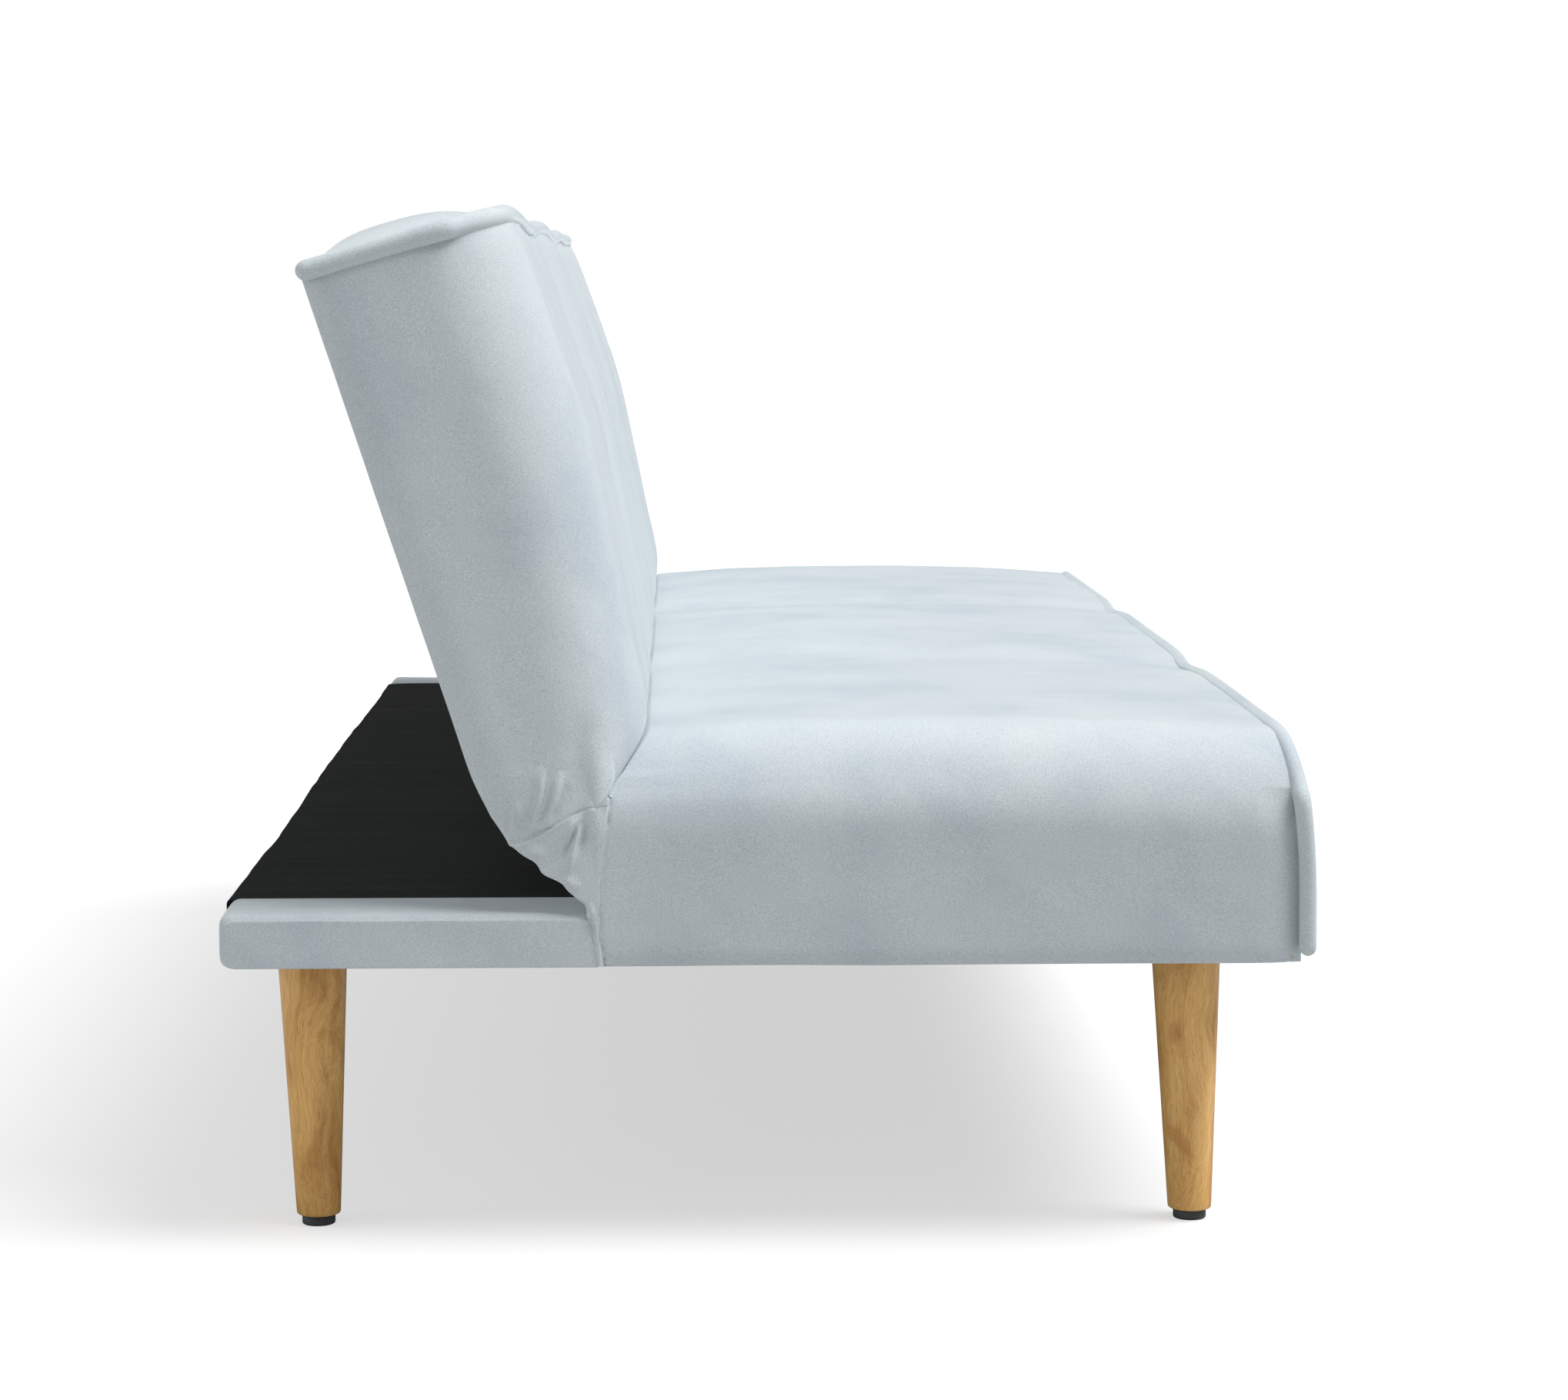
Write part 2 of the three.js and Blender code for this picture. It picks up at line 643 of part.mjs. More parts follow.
function makeBack() {
  const skin = loft(cushionStations(0), (x) => backSection(x, 0));
  const hollow = loft(cushionStations(wall), (x) => backSection(x, wall));
  const border = backPanelBorder;
  const half = endFace - border;
  const opening = [backFootRise + backFootRound + border / 2, backTop - border];
  const rearHole = box([-half, half], [frameRear, backRear + overrun], opening);
  const pocketRear = Math.max(backRear - backFootInset - wall, ratchetRimRadius + gap);
  const reach = [-(pawlPivotForward + armEdge + pocketMargin), pocketRear];
  const beside = gap + hingePinHeadHeight + pocketMargin;
  const pockets = sides.map(([, side]) => box(onSide(side, armInner - beside, plateOuter + beside),
    reach, [-overrun, armSpringTop + armLugHeight + armEdge + pocketMargin]));
  const rise = backThickness * backFrontShares[0][1] - backRear - pipingSeat;
  const topAt = (forwardBy) => backTop + pipingSeat - (backTopFall * (backRear + forwardBy)) / backThickness;
  const line = pipingLine(-backRear - overrun, rise, topAt).map(([x, up, out]) => [x, -up, out]);
  const groove = tube(line, pipingRadius + gap, pipingSteps, pipingSides);
  const behind = box([-length, length], [backRear - pipingProud, backRear + depth], [0, backTop + depth]);
  place(back, 'back_cover', cut(skin, hollow, rearHole, groove, ...pockets), velvet);
  const filling = loft(cushionStations(wall + gap), (x) => backSection(x, wall + gap));
  const recess = box([-armOuter - gap, armOuter + gap],
    [frameFront - gap - webbingThickness - gap, backRear], [frameFoot - gap, frameTop + gap]);
  place(back, 'back_foam', cut(filling, recess, ...pockets), foam);
  place(back, 'back_piping', cut(tube(line, pipingRadius, pipingSteps, pipingSides), behind), velvet);
  const panel = box([-half + gap, half - gap], [frameRear + gap, backRear],
    [opening[0] + gap, opening[1] - gap]);
  place(back, 'back_rear_panel', panel, velvet);
}

function makeBackFrame() {
  const deep = [frameFront, frameRear];
  const inner = backRailOuter - backEndRailWidth;
  for (const [name, side] of sides) {
    const rail = box(onSide(side, inner, backRailOuter), deep, [frameFoot, frameTop]);
    place(back, `back_end_rail_${name}`, rail, pine);
  }
  const across = [-inner + gap, inner - gap];
  const footRail = [frameFoot, frameFoot + backLongRailWidth];
  const topRail = [frameTop - backLongRailWidth, frameTop];
  place(back, 'back_foot_rail', box(across, deep, footRail), pine);
  place(back, 'back_top_rail', box(across, deep, topRail), pine);
  const centre = [-backCentreRailWidth / 2, backCentreRailWidth / 2];
  place(back, 'back_centre_rail', box(centre, deep, [footRail[1] + gap, topRail[0] - gap]), pine);
  const strapHalf = backRailOuter - webbingEndInset;
  const strapDeep = [frameFront - gap - webbingThickness, frameFront - gap];
  for (let i = 0; i < webbingCount; i++) {
    const middle = footRail[1] + ((topRail[0] - footRail[1]) * (i + 1)) / (webbingCount + 1);
    const high = [middle - webbingWidth / 2, middle + webbingWidth / 2];
    place(back, `back_webbing_${i + 1}`, box([-strapHalf, strapHalf], strapDeep, high), elastic);
  }
}

// Sinuous springs: a flat wave of wire from the front rail to the rail under the seat's rear edge
function makeSeatSprings() {
  const from = railFront + springEndInset;
  const to = seatRailRear - springEndInset;
  const waves = Math.round((to - from) / springPitch);
  const level = railTop + gap + springWire / 2;
  const spacing = (2 * (railEnd - endRailWidth)) / springCount;
  for (let i = 0; i < springCount; i++) {
    const middle = (i - (springCount - 1) / 2) * spacing;
    const points = [];
    for (let quarter = 0; quarter <= waves * 4; quarter++) {
      const x = middle + (springWidth / 2) * Math.sin((Math.PI * quarter) / 2);
      points.push([x, from + ((to - from) * quarter) / (waves * 4), level]);
    }
    const wire = tube(points, springWire / 2, waves * springStepsPerWave, springSides);
    place(sofa, `seat_spring_${i + 1}`, wire, springSteel);
  }
}

// Ratchet hinges

// The upright web of the seat plate: a toe on the end rail, rising to the boss at the pivot. It can be
// drawn larger all round, as the slit that it passes through.
function seatPlateWeb(grow) {
  const heel = seatRear - wall - gap;
  const toe = heel - seatPlateLength;
  const foot = railTop + gap - grow;
  const boss = arc([pivotY, pivotZ], hingeBossRadius + grow, seatPlateBossFrom, seatPlateBossTo);
  const toeTop = foot + seatPlateToeHeight + 2 * grow;
  return outline([[toe - grow, foot], [heel + grow, foot], ...boss, [toe - grow, toeTop]],
    grow > 0 ? [] : [[pivotY, pivotZ, hingePinDiameter / 2 + gap]]);
}

function makeSeatPlate(name, side) {
  const web = acrossX(seatPlateWeb(0), onSide(side, plateOuter - hingePlate, plateOuter));
  const heel = seatRear - wall - gap;
  const toe = heel - seatPlateLength;
  const level = [railTop + gap, railTop + gap + hingePlate];
  const flange = box(onSide(side, plateOuter - hingePlate, plateOuter + seatPlateFlange), [toe, heel], level);
  const [drill, middle] = [[level[0] - overrun, level[1] + overrun], side * (plateOuter + seatPlateFlange / 2)];
  const holes = [toe + screwHoleInset, heel - screwHoleInset].map(
    (y) => rodAlongZ(screwHoleDiameter / 2, drill, middle, y));
  place(sofa, `hinge_seat_plate_${name}`, cut(join(web, flange), ...holes), zincSteel);
}

// A toothed sector: the rim has one notch for each stop. Each notch has a radial flank that the pawl
// bears on and a leaning flank that lifts the pawl when the back is drawn forward.
function makeRatchet(name, side) {
  const turn = (size) => THREE.MathUtils.radToDeg(size / ratchetRimRadius);
  const polar = (radius, angle) => arc([pivotY, pivotZ], radius, angle, angle, 1)[0];
  const width = turn(ratchetToothWidth + 2 * gap) / 2;
  const stops = [backLeanAngle, backLeanAngle + midStopAngle, quarterTurn].map(
    (tilt) => quarterTurn - tilt).reverse();
  const rim = [];
  let angle = -ratchetShoulder - turn(ratchetShoulder);
  for (const stop of stops) {
    rim.push(...arc([pivotY, pivotZ], ratchetRimRadius, angle, stop - width, toothSteps));
    angle = stop + width + turn(ratchetFlankRun);
    rim.push(polar(ratchetRootRadius, stop - width), polar(ratchetRootRadius, stop + width));
  }
  rim.push(...arc([pivotY, pivotZ], ratchetRimRadius, angle, angle + turn(ratchetShoulder), toothSteps));
  const from = angle + 2 * turn(ratchetShoulder);
  const to = fullTurn - 2 * ratchetShoulder - turn(ratchetShoulder);
  rim.push(...arc([pivotY, pivotZ], ratchetRootRadius - gap, from, to));
  const shape = outline(rim, [[pivotY, pivotZ, hingePinDiameter / 2 + gap]]);
  const layer = onSide(side, ratchetOuter - hingePlate, ratchetOuter);
  place(sofa, `hinge_ratchet_${name}`, acrossX(shape, layer), zincSteel);
}

// The arm bolts to the back's end rail. It carries the pawl's rivet and the lug of the pawl's spring,
// and the spring lies in its window.
function makeBackArm(name, side) {
  const [front, rear] = [frameFront + armStripInset, frameFront + armStripInset + armStripWidth];
  const pawlFront = -pawlPivotForward - armEdge;
  const lugTop = armSpringTop + armLugHeight;
  const boss = arc([0, 0], hingeBossRadius, halfTurn, fullTurn);
  const body = [...boss, [rear, frameFoot], [rear, armStripLength],
    [front, armStripLength], [front, lugTop + armEdge], [-springWindowWidth, lugTop + armEdge],
    [pawlFront, pawlPivotRise + armEdge], [pawlFront, pawlPivotRise], [-hingeBossRadius, armEdge]];
  const bolts = armBoltShares.map(
    (share) => [(front + rear) / 2, armStripLength * share, screwHoleDiameter / 2]);
  const plate = acrossX(outline(body, [[0, 0, hingePinDiameter / 2 + gap], ...bolts]),
    onSide(side, armInner, armOuter));
  const halfWindow = springWindowWidth / 2;
  const window = box(onSide(side, armInner - overrun, armOuter + overrun), [-halfWindow, halfWindow],
    [pawlTopReleased(), armSpringTop]);
  const across = onSide(side, armInner, ratchetOuter);
  const rivet = rodAlongX(pawlRivetDiameter / 2, across, -pawlPivotForward, pawlPivotRise);
  const lug = box(across, [-halfWindow, halfWindow], [armSpringTop, lugTop]);
  place(back, `hinge_back_arm_${name}`, join(cut(plate, window), rivet, lug), zincSteel);
}

// The pawl's outline, engaged in a notch. Its tooth narrows toward the pivot as the notch does.
function pawlOutline() {
  const half = ratchetToothWidth / 2;
  const rim = ratchetRimRadius + 2 * gap;
  const tip = ratchetRootRadius + gap;
  const tipHalf = (half * tip) / rim;
  const side = half + ratchetFlankRun;
  const centre = [-pawlPivotForward, pawlPivotRise];
  const boss = arc(centre, pawlBossRadius, pawlBossFrom, pawlBossTo, pawlBossSteps);
  const tooth = [[-side, rim], [-tipHalf, tip], [tipHalf, tip], [half, rim]];
  return [...boss, ...tooth, [side, rim], [side, rim + pawlHeight]];
}

// The released pawl's highest point
function pawlTopReleased() {
  const release = THREE.MathUtils.degToRad(pawlReleaseAngle);
  return Math.max(...pawlOutline().map(([y, z]) => pawlPivotRise
    + (y + pawlPivotForward) * Math.sin(release) + (z - pawlPivotRise) * Math.cos(release)));
}

// The pawl is drawn engaged, then turned out about its rivet to where it is released
function makePawl(name, side) {
  const hole = [-pawlPivotForward, pawlPivotRise, pawlRivetDiameter / 2 + gap];
  const pawl = acrossX(outline(pawlOutline(), [hole]), onSide(side, ratchetOuter - hingePlate, ratchetOuter));
  pawl.translate(0, pawlPivotForward, -pawlPivotRise).rotateX(THREE.MathUtils.degToRad(pawlReleaseAngle));
  place(back, `hinge_pawl_${name}`, pawl.translate(0, -pawlPivotForward, pawlPivotRise), zincSteel);
}

function makeHingePin(name, side) {
  const [inner, outer] = [armInner - gap, plateOuter + gap];
  const pin = rodAlongX(hingePinDiameter / 2, onSide(side, inner, outer), pivotY, pivotZ);
  const heads = [[inner - hingePinHeadHeight, inner], [outer, outer + hingePinHeadHeight]].map(
    ([a, b]) => rodAlongX(hingePinHeadDiameter / 2, onSide(side, a, b), pivotY, pivotZ));
  place(sofa, `hinge_pin_${name}`, join(pin, ...heads), zincSteel);
}

function makePawlSpring(name, side) {
  const middle = side * (ratchetOuter - hingePlate / 2);
  const radius = (pawlSpringDiameter - pawlSpringWire) / 2;
  const foot = pawlTopReleased() + gap + pawlSpringWire / 2;
  const top = armSpringTop - gap - pawlSpringWire / 2;
  const count = pawlSpringTurns * pawlSpringStepsPerTurn;
  const points = Array.from({ length: count + 1 }, (_, i) => {
    const angle = (2 * Math.PI * i) / pawlSpringStepsPerTurn;
    return [middle + radius * Math.cos(angle), radius * Math.sin(angle), foot + ((top - foot) * i) / count];
  });
  const coil = tube(points, pawlSpringWire / 2, count, pawlSpringSides);
  place(back, `hinge_pawl_spring_${name}`, coil, springSteel);
}

// Cloth that closes the hinge line

function makeHingeCloth() {
  const foot = fromBack([backRear - backFootInset - wall / 2, backFootRise - gap - flapThickness]);
  const land = [seatRear + flapLanding, deckTop + gap + flapThickness / 2];
  const line = [foot, land, [land[0] - flapTab, land[1]]];
  const gussetInner = endFace - gussetSetIn - gussetThickness;
  const flapHalf = gussetInner - gap;
  place(sofa, 'hinge_flap', acrossX(ribbon(line, flapThickness), [-flapHalf, flapHalf]), velvet);
  const strip = [seatRear + gap, seatRear + gap + gussetStrip];
  const slope = fromBack([backRear - backFootInset, backFootRise - 2 * gap]);
  const corner = [seatRear + gap, slopeFoot - gap];
  const shape = outline([[strip[0], underside], [strip[1], underside], [strip[1], deckTop + gap],
    [land[0] + flapTab, deckTop + gap], slope, corner]);
  for (const [name, side] of sides) {
    const gusset = acrossX(shape, onSide(side, gussetInner, endFace - gussetSetIn));
    place(sofa, `hinge_gusset_${name}`, gusset, velvet);
  }
}

makeBaseFrame();
makeDeckCloth();
makeLegs();
makeDustCover();
makeSeatSprings();
makeSeat();
makeBackFrame();
makeBack();
for (const [name, side] of sides) {
  makeSeatPlate(name, side);
  makeRatchet(name, side);
  makeBackArm(name, side);
  makePawl(name, side);
  makeHingePin(name, side);
  makePawlSpring(name, side);
}
makeHingeCloth();

export default sofa;
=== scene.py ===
import json
import math

import bpy
import numpy as np
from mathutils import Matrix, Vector
from mathutils.bvhtree import BVHTree


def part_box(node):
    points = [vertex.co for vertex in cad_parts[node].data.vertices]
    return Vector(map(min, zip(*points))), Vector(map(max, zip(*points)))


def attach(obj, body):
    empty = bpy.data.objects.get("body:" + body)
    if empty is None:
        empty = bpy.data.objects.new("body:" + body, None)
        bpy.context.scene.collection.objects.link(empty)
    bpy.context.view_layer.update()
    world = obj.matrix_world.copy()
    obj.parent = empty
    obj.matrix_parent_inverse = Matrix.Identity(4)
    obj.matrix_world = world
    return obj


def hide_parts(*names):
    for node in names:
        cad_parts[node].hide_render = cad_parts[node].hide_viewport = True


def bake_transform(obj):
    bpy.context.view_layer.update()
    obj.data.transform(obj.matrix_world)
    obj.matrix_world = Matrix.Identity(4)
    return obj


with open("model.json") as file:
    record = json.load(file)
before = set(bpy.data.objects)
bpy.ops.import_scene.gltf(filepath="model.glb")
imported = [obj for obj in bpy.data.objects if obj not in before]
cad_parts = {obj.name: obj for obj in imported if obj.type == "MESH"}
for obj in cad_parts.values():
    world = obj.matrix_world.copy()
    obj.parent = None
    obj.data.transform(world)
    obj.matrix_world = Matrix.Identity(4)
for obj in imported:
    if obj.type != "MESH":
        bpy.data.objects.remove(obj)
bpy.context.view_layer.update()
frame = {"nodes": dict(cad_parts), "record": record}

scene = bpy.context.scene

# Pieces are drawn in millimetres, in the frame's own axes, and go into Blender in metres
MM = 0.001
sides = [("left", -1), ("right", 1)]


def mm_box(node):
    """The lowest and highest corner of a CAD node, in millimetres."""
    return [np.array(corner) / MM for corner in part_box(node)]


# Sizes that the frame gives
(_, SEAT_FACE, UNDERSIDE), (END, SEAT_REAR, SEAT_TOP) = mm_box("seat_cover")
(_, _, DECK_LOW), (WRAP_END, DECK_REAR, DECK_TOP) = mm_box("deck_wrap_right")
WRAP_START = mm_box("deck_wrap_right")[0][0]
WRAP_FRONT = mm_box("deck_wrap_right")[0][1]
HINGE = frame["record"]["behaviour"]["joints"][0]
PIVOT_Y, PIVOT_Z = (np.array(HINGE["pos_m"]) / MM)[1:]
LENGTH = 2 * mm_box("seat_piping")[1][0]

# Sizes of the cushions
LEAN = math.radians(18.5)
SEAT_CROWN = 9
SEAT_EDGE = SEAT_TOP - SEAT_CROWN
SEAT_SLOPE_DEPTH = 38
SEAT_FRONT_LEAN = 12.5
SEAT_UPRIGHT = UNDERSIDE + 0.3 * (SEAT_EDGE - UNDERSIDE)
SLOPE_FOOT = PIVOT_Z + 15.7
END_RADIUS = 85
END_TURN = math.radians(60)
END_SWELL = END_RADIUS * (1 - math.sin(END_TURN))
END_SOFTNESS = 2 * (1 - math.sin(END_TURN)) * math.tan(END_TURN)
END_STRAIGHT = END + 1 - END_RADIUS
END_FALL = 82
CHANNEL_DEPTH = 4
CHANNEL_WIDTH = 60
CHANNELS = (-LENGTH / 6, LENGTH / 6)
BACK_REAR = PIVOT_Z - DECK_TOP - 4
BACK_FOOT_RISE = 4
BACK_FOOT_INSET = 10
BACK_FOOT_ROUND = 36
BACK_FOOT_PROFILE = [(0, 90), (0, 62), (2.4, 40), (5, 27), (8.2, 17), (10, 4)]
BACK_LENGTH = 460
BACK_TOP = BACK_FOOT_RISE + BACK_LENGTH
BACK_THICKNESS = 168
BACK_TOP_FALL = 6
BACK_TOP_DOME = 27
BACK_DOME_POWER = 24
BACK_CLEARANCE = 0.3
CREASE_RISE = 42
BACK_SAGS = [(-480, 5), (160, 4), (600, 3)]
SAG_WIDTH = 130
BACK_FRONT = [(1, 0.97), (0.93, 0.99), (0.8, 1), (0.62, 1), (0.46, 0.955), (0.3, 0.9), (0.17, 0.863)]
PANEL_BORDER = 24
PIPING_RADIUS = 6.75
BACK_CORD_RADIUS = 8.2
PIPING_SEAT = 3.75
WRAP_ROUND = 8
HEM_RIM = 7
HEM_RISE = 2.4
STEP = 5.6
CLOSER = 0.8
NOISE_CELLS = 32


# Shaping tools

def spread(line, count, closer=0):
    """A line of points drawn again with count + 1 points, evenly along it or closer together at its ends."""
    line = np.array(line, float)
    run = np.concatenate([[0], np.cumsum(np.linalg.norm(np.diff(line, axis=0), axis=1))])
    at = run[-1] * shares(count, closer)
    return np.column_stack([np.interp(at, run, values) for values in line.T])


def shares(count, closer):
    """Shares from 0 to 1, which lie closer together near 0 and 1."""
    even = np.linspace(0, 1, count + 1)
    return even - closer * np.sin(2 * math.pi * even) / (2 * math.pi)


def curved(line, count):
    """A smooth curve through the points of a line, with count + 1 points."""
    line = np.array(line, float)
    ends = np.vstack([2 * line[0] - line[1], line, 2 * line[-1] - line[-2]])
    points = []
    for a, b, c, d in zip(ends, ends[1:], ends[2:], ends[3:]):
        for t in np.linspace(0, 1, 12, endpoint=False):
            bend = 2 * b + (c - a) * t + (2 * a - 5 * b + 4 * c - d) * t**2 + (3 * b - a - 3 * c + d) * t**3
            points.append(bend / 2)
    return spread(points + [line[-1]], count)


def ripple(points, size, seed):
    """Smooth random waves from -1 to 1 at each point. Size is how far apart they are, in millimetres."""
    table = np.random.default_rng(seed).uniform(-1, 1, (NOISE_CELLS,) * 3)
    place = np.asarray(points) / size
    cell = np.floor(place).astype(int)
    part = place - cell
    part = part * part * (3 - 2 * part)
    total = np.zeros(len(place))
    for corner in np.ndindex(2, 2, 2):
        weight = np.prod(np.where(np.array(corner) == 1, part, 1 - part), axis=1)
        total += table[tuple(((cell + corner) % NOISE_CELLS).T)] * weight
    return total


def ramp(value, start, end):
    """Rises smoothly from 0 at start to 1 at end."""
    share = np.clip((value - start) / (end - start), 0, 1)
    return share * share * (3 - 2 * share)


def folds(points, lines):
    """How far drawn folds stand out at each flat point. Each is (line, height, width, fades at its start)."""
    out = np.zeros(len(points))
    for line, height, width, fades in lines:
        path = curved(line, 40)
        away = np.linalg.norm(points[:, None] - path[None], axis=2)
        along = away.argmin(axis=1) / (len(path) - 1)
        rise = ramp(along, 0, 0.35) if fades else 1
        out += height * np.exp(-((away.min(axis=1) / width) ** 2)) * rise * (1 - ramp(along, 0.55, 1))
    return out


def smoothed(points, faces, passes):
    """Points drawn towards their neighbours, which softens every edge of a form."""
    edges = np.array(sorted({tuple(sorted(e)) for f in faces for e in zip(f, (*f[1:], f[0]))}))
    count = np.bincount(edges.ravel(), minlength=len(points))[:, None]
    for _ in range(passes):
        total = np.zeros_like(points)
        np.add.at(total, edges[:, 0], points[edges[:, 1]])
        np.add.at(total, edges[:, 1], points[edges[:, 0]])
        points = (points + total / count) / 2
    return points


def outward(points, faces):
    """The direction that the surface faces at each point."""
    corners = points[np.array(faces)]
    across = np.cross(corners[:, 2] - corners[:, 0], corners[:, 3] - corners[:, 1])
    total = np.zeros_like(points)
    for i in range(4):
        np.add.at(total, np.array(faces)[:, i], across)
    return total / np.maximum(np.linalg.norm(total, axis=1, keepdims=True), 1e-9)


def make_piece(name, points, faces, material):
    """A smooth Blender object from points in millimetres."""
    mesh = bpy.data.meshes.new(name)
    mesh.from_pydata((np.asarray(points) * MM).tolist(), [], [tuple(int(i) for i in f) for f in faces])
    mesh.shade_smooth()
    mesh.materials.append(material)
    piece = bpy.data.objects.new(name, mesh)
    scene.collection.objects.link(piece)
    return piece


def closed_form(stations, section, up, along):
    """Points and faces of a form with a section at each station along the sofa and a grid over each end.
    A section has four sides, from its lower front corner: up, along, down and along again."""
    rings = np.array([[(x, y, z) for y, z in section(x)] for x in stations])
    size = 2 * (up + along)
    points = list(rings.reshape(-1, 3))
    faces = []
    for i in range(len(stations) - 1):
        for j in range(size):
            k = (j + 1) % size
            faces.append((i * size + j, i * size + k, (i + 1) * size + k, (i + 1) * size + j))
    ends = []
    for i, turn in [(0, -1), (len(stations) - 1, 1)]:
        ring = rings[i]
        front, top = ring[:up + 1], ring[up:up + along + 1]
        rear = ring[up + along:2 * up + along + 1][::-1]
        bottom = np.vstack([ring[2 * up + along:], ring[:1]])[::-1]
        index = np.zeros((along + 1, up + 1), int)
        index[0, :] = i * size + np.arange(up + 1)
        index[:, up] = i * size + up + np.arange(along + 1)
        index[along, :] = i * size + (up + along + np.arange(up + 1))[::-1]
        index[:, 0] = i * size + ((2 * up + along + np.arange(along + 1)) % size)[::-1]
        for a, u in enumerate(shares(along, CLOSER)[1:-1], 1):
            for b, v in enumerate(shares(up, CLOSER)[1:-1], 1):
                across = (1 - u) * front[b] + u * rear[b]
                rise = (1 - v) * bottom[a] + v * top[a]
                low = (1 - v) * ((1 - u) * front[0] + u * rear[0])
                high = v * ((1 - u) * front[up] + u * rear[up])
                index[a, b] = len(points)
                points.append(across + rise - low - high)
        for a in range(along):
            for b in range(up):
                quad = (index[a, b], index[a, b + 1], index[a + 1, b + 1], index[a + 1, b])
                faces.append(quad[::-1] if turn < 0 else quad)
        ends.append((index, turn))
    return np.array(points), [f[::-1] for f in faces], ends


def swell_ends(points, ends, soft_sides, crease=0):
    """Pushes the middle of each end out, and lets it fall away towards the soft sides, each with the width and
    the share of its fall. The front's lower part, up to the crease, stays out."""
    for index, turn in ends:
        flat = points[index][..., 1:]
        low_u, high_u = (np.linalg.norm(flat - flat[k][None], axis=2) for k in (0, -1))
        low_v, high_v = (np.linalg.norm(flat - flat[:, k][:, None], axis=2) for k in (0, -1))
        rise = np.ones(flat.shape[:2])
        for away, side in [(low_u, "front"), (high_u, "rear"), (low_v, "foot"), (high_v, "top")]:
            if side in soft_sides:
                softness, most = soft_sides[side]
                drop = most * (1 - np.clip(away / softness, 0, 1)) ** 2
                rise *= 1 - drop * (ramp(low_v, 5, crease) if side == "front" and crease else 1)
        points[index.ravel(), 0] += turn * END_SWELL * rise.ravel()
    return points


def cloth_grid(grid, thickness, keep=None):
    """Points and faces of a closed thin cloth over a grid of points. Keep says which of its cells are there."""
    rows, columns = grid.shape[:2]
    keep = np.ones((rows - 1, columns - 1), bool) if keep is None else keep
    along, across = np.gradient(grid, axis=0), np.gradient(grid, axis=1)
    normal = np.cross(along, across)
    normal /= np.maximum(np.linalg.norm(normal, axis=2, keepdims=True), 1e-9)
    points = np.vstack([grid.reshape(-1, 3), (grid - normal * thickness).reshape(-1, 3)])
    index = np.arange(rows * columns).reshape(rows, columns)
    top = [(index[i, j], index[i + 1, j], index[i + 1, j + 1], index[i, j + 1])
           for i, j in zip(*np.nonzero(keep))]
    under = rows * columns
    edges = {}
    for face in top:
        for a, b in zip(face, (*face[1:], face[0])):
            if (b, a) in edges:
                del edges[(b, a)]
            else:
                edges[(a, b)] = True
    walls = [(b, a, a + under, b + under) for a, b in edges]
    faces = top + [tuple(i + under for i in f[::-1]) for f in top] + walls
    used = np.unique(np.array(faces))
    place = np.full(len(points), -1)
    place[used] = np.arange(len(used))
    return points[used], [tuple(place[list(f)]) for f in faces]


def tube_form(path, radius, sides_round):
    """Points and faces of a closed round cord along a path. Radius is one value for each point of it."""
    path = np.array(path, float)
    forward = np.gradient(path, axis=0)
    forward /= np.linalg.norm(forward, axis=1, keepdims=True)
    side = np.cross(forward[0], (0.3, 0.5, 0.8))
    points = []
    for place, ahead, size in zip(path, forward, radius):
        side = side - ahead * (side @ ahead)
        side /= np.linalg.norm(side)
        up = np.cross(ahead, side)
        turn = np.linspace(0, 2 * math.pi, sides_round, endpoint=False)[:, None]
        points.append(place + size * (np.cos(turn) * side + np.sin(turn) * up))
    count = len(path)
    points = np.vstack(points + [path[:1], path[-1:]])
    faces = []
    for i in range(count - 1):
        for j in range(sides_round):
            k = (j + 1) % sides_round
            a, b = i * sides_round, (i + 1) * sides_round
            faces.append((a + j, a + k, b + k, b + j))
    last = (count - 1) * sides_round
    for j in range(sides_round):
        k = (j + 1) % sides_round
        faces.append((k, j, count * sides_round))
        faces.append((last + j, last + k, count * sides_round + 1))
    return points, faces


def turned_form(profile, sides_round, place):
    """Points and faces of a turned form from its profile of (radius, height), lowest first."""
    rings = []
    for radius, height in profile:
        turn = np.linspace(0, 2 * math.pi, sides_round, endpoint=False)
        rings.append(np.column_stack([radius * np.cos(turn), radius * np.sin(turn), np.full(sides_round, height)]))
    points = np.vstack(rings) + (*place, 0)
    faces = [tuple(reversed(range(sides_round)))]
    for i in range(len(profile) - 1):
        for j in range(sides_round):
            k = (j + 1) % sides_round
            a, b = i * sides_round, (i + 1) * sides_round
            faces.append((a + j, a + k, b + k, b + j))
    top = (len(profile) - 1) * sides_round
    faces.append(tuple(top + j for j in range(sides_round)))
    return points, faces


# Materials

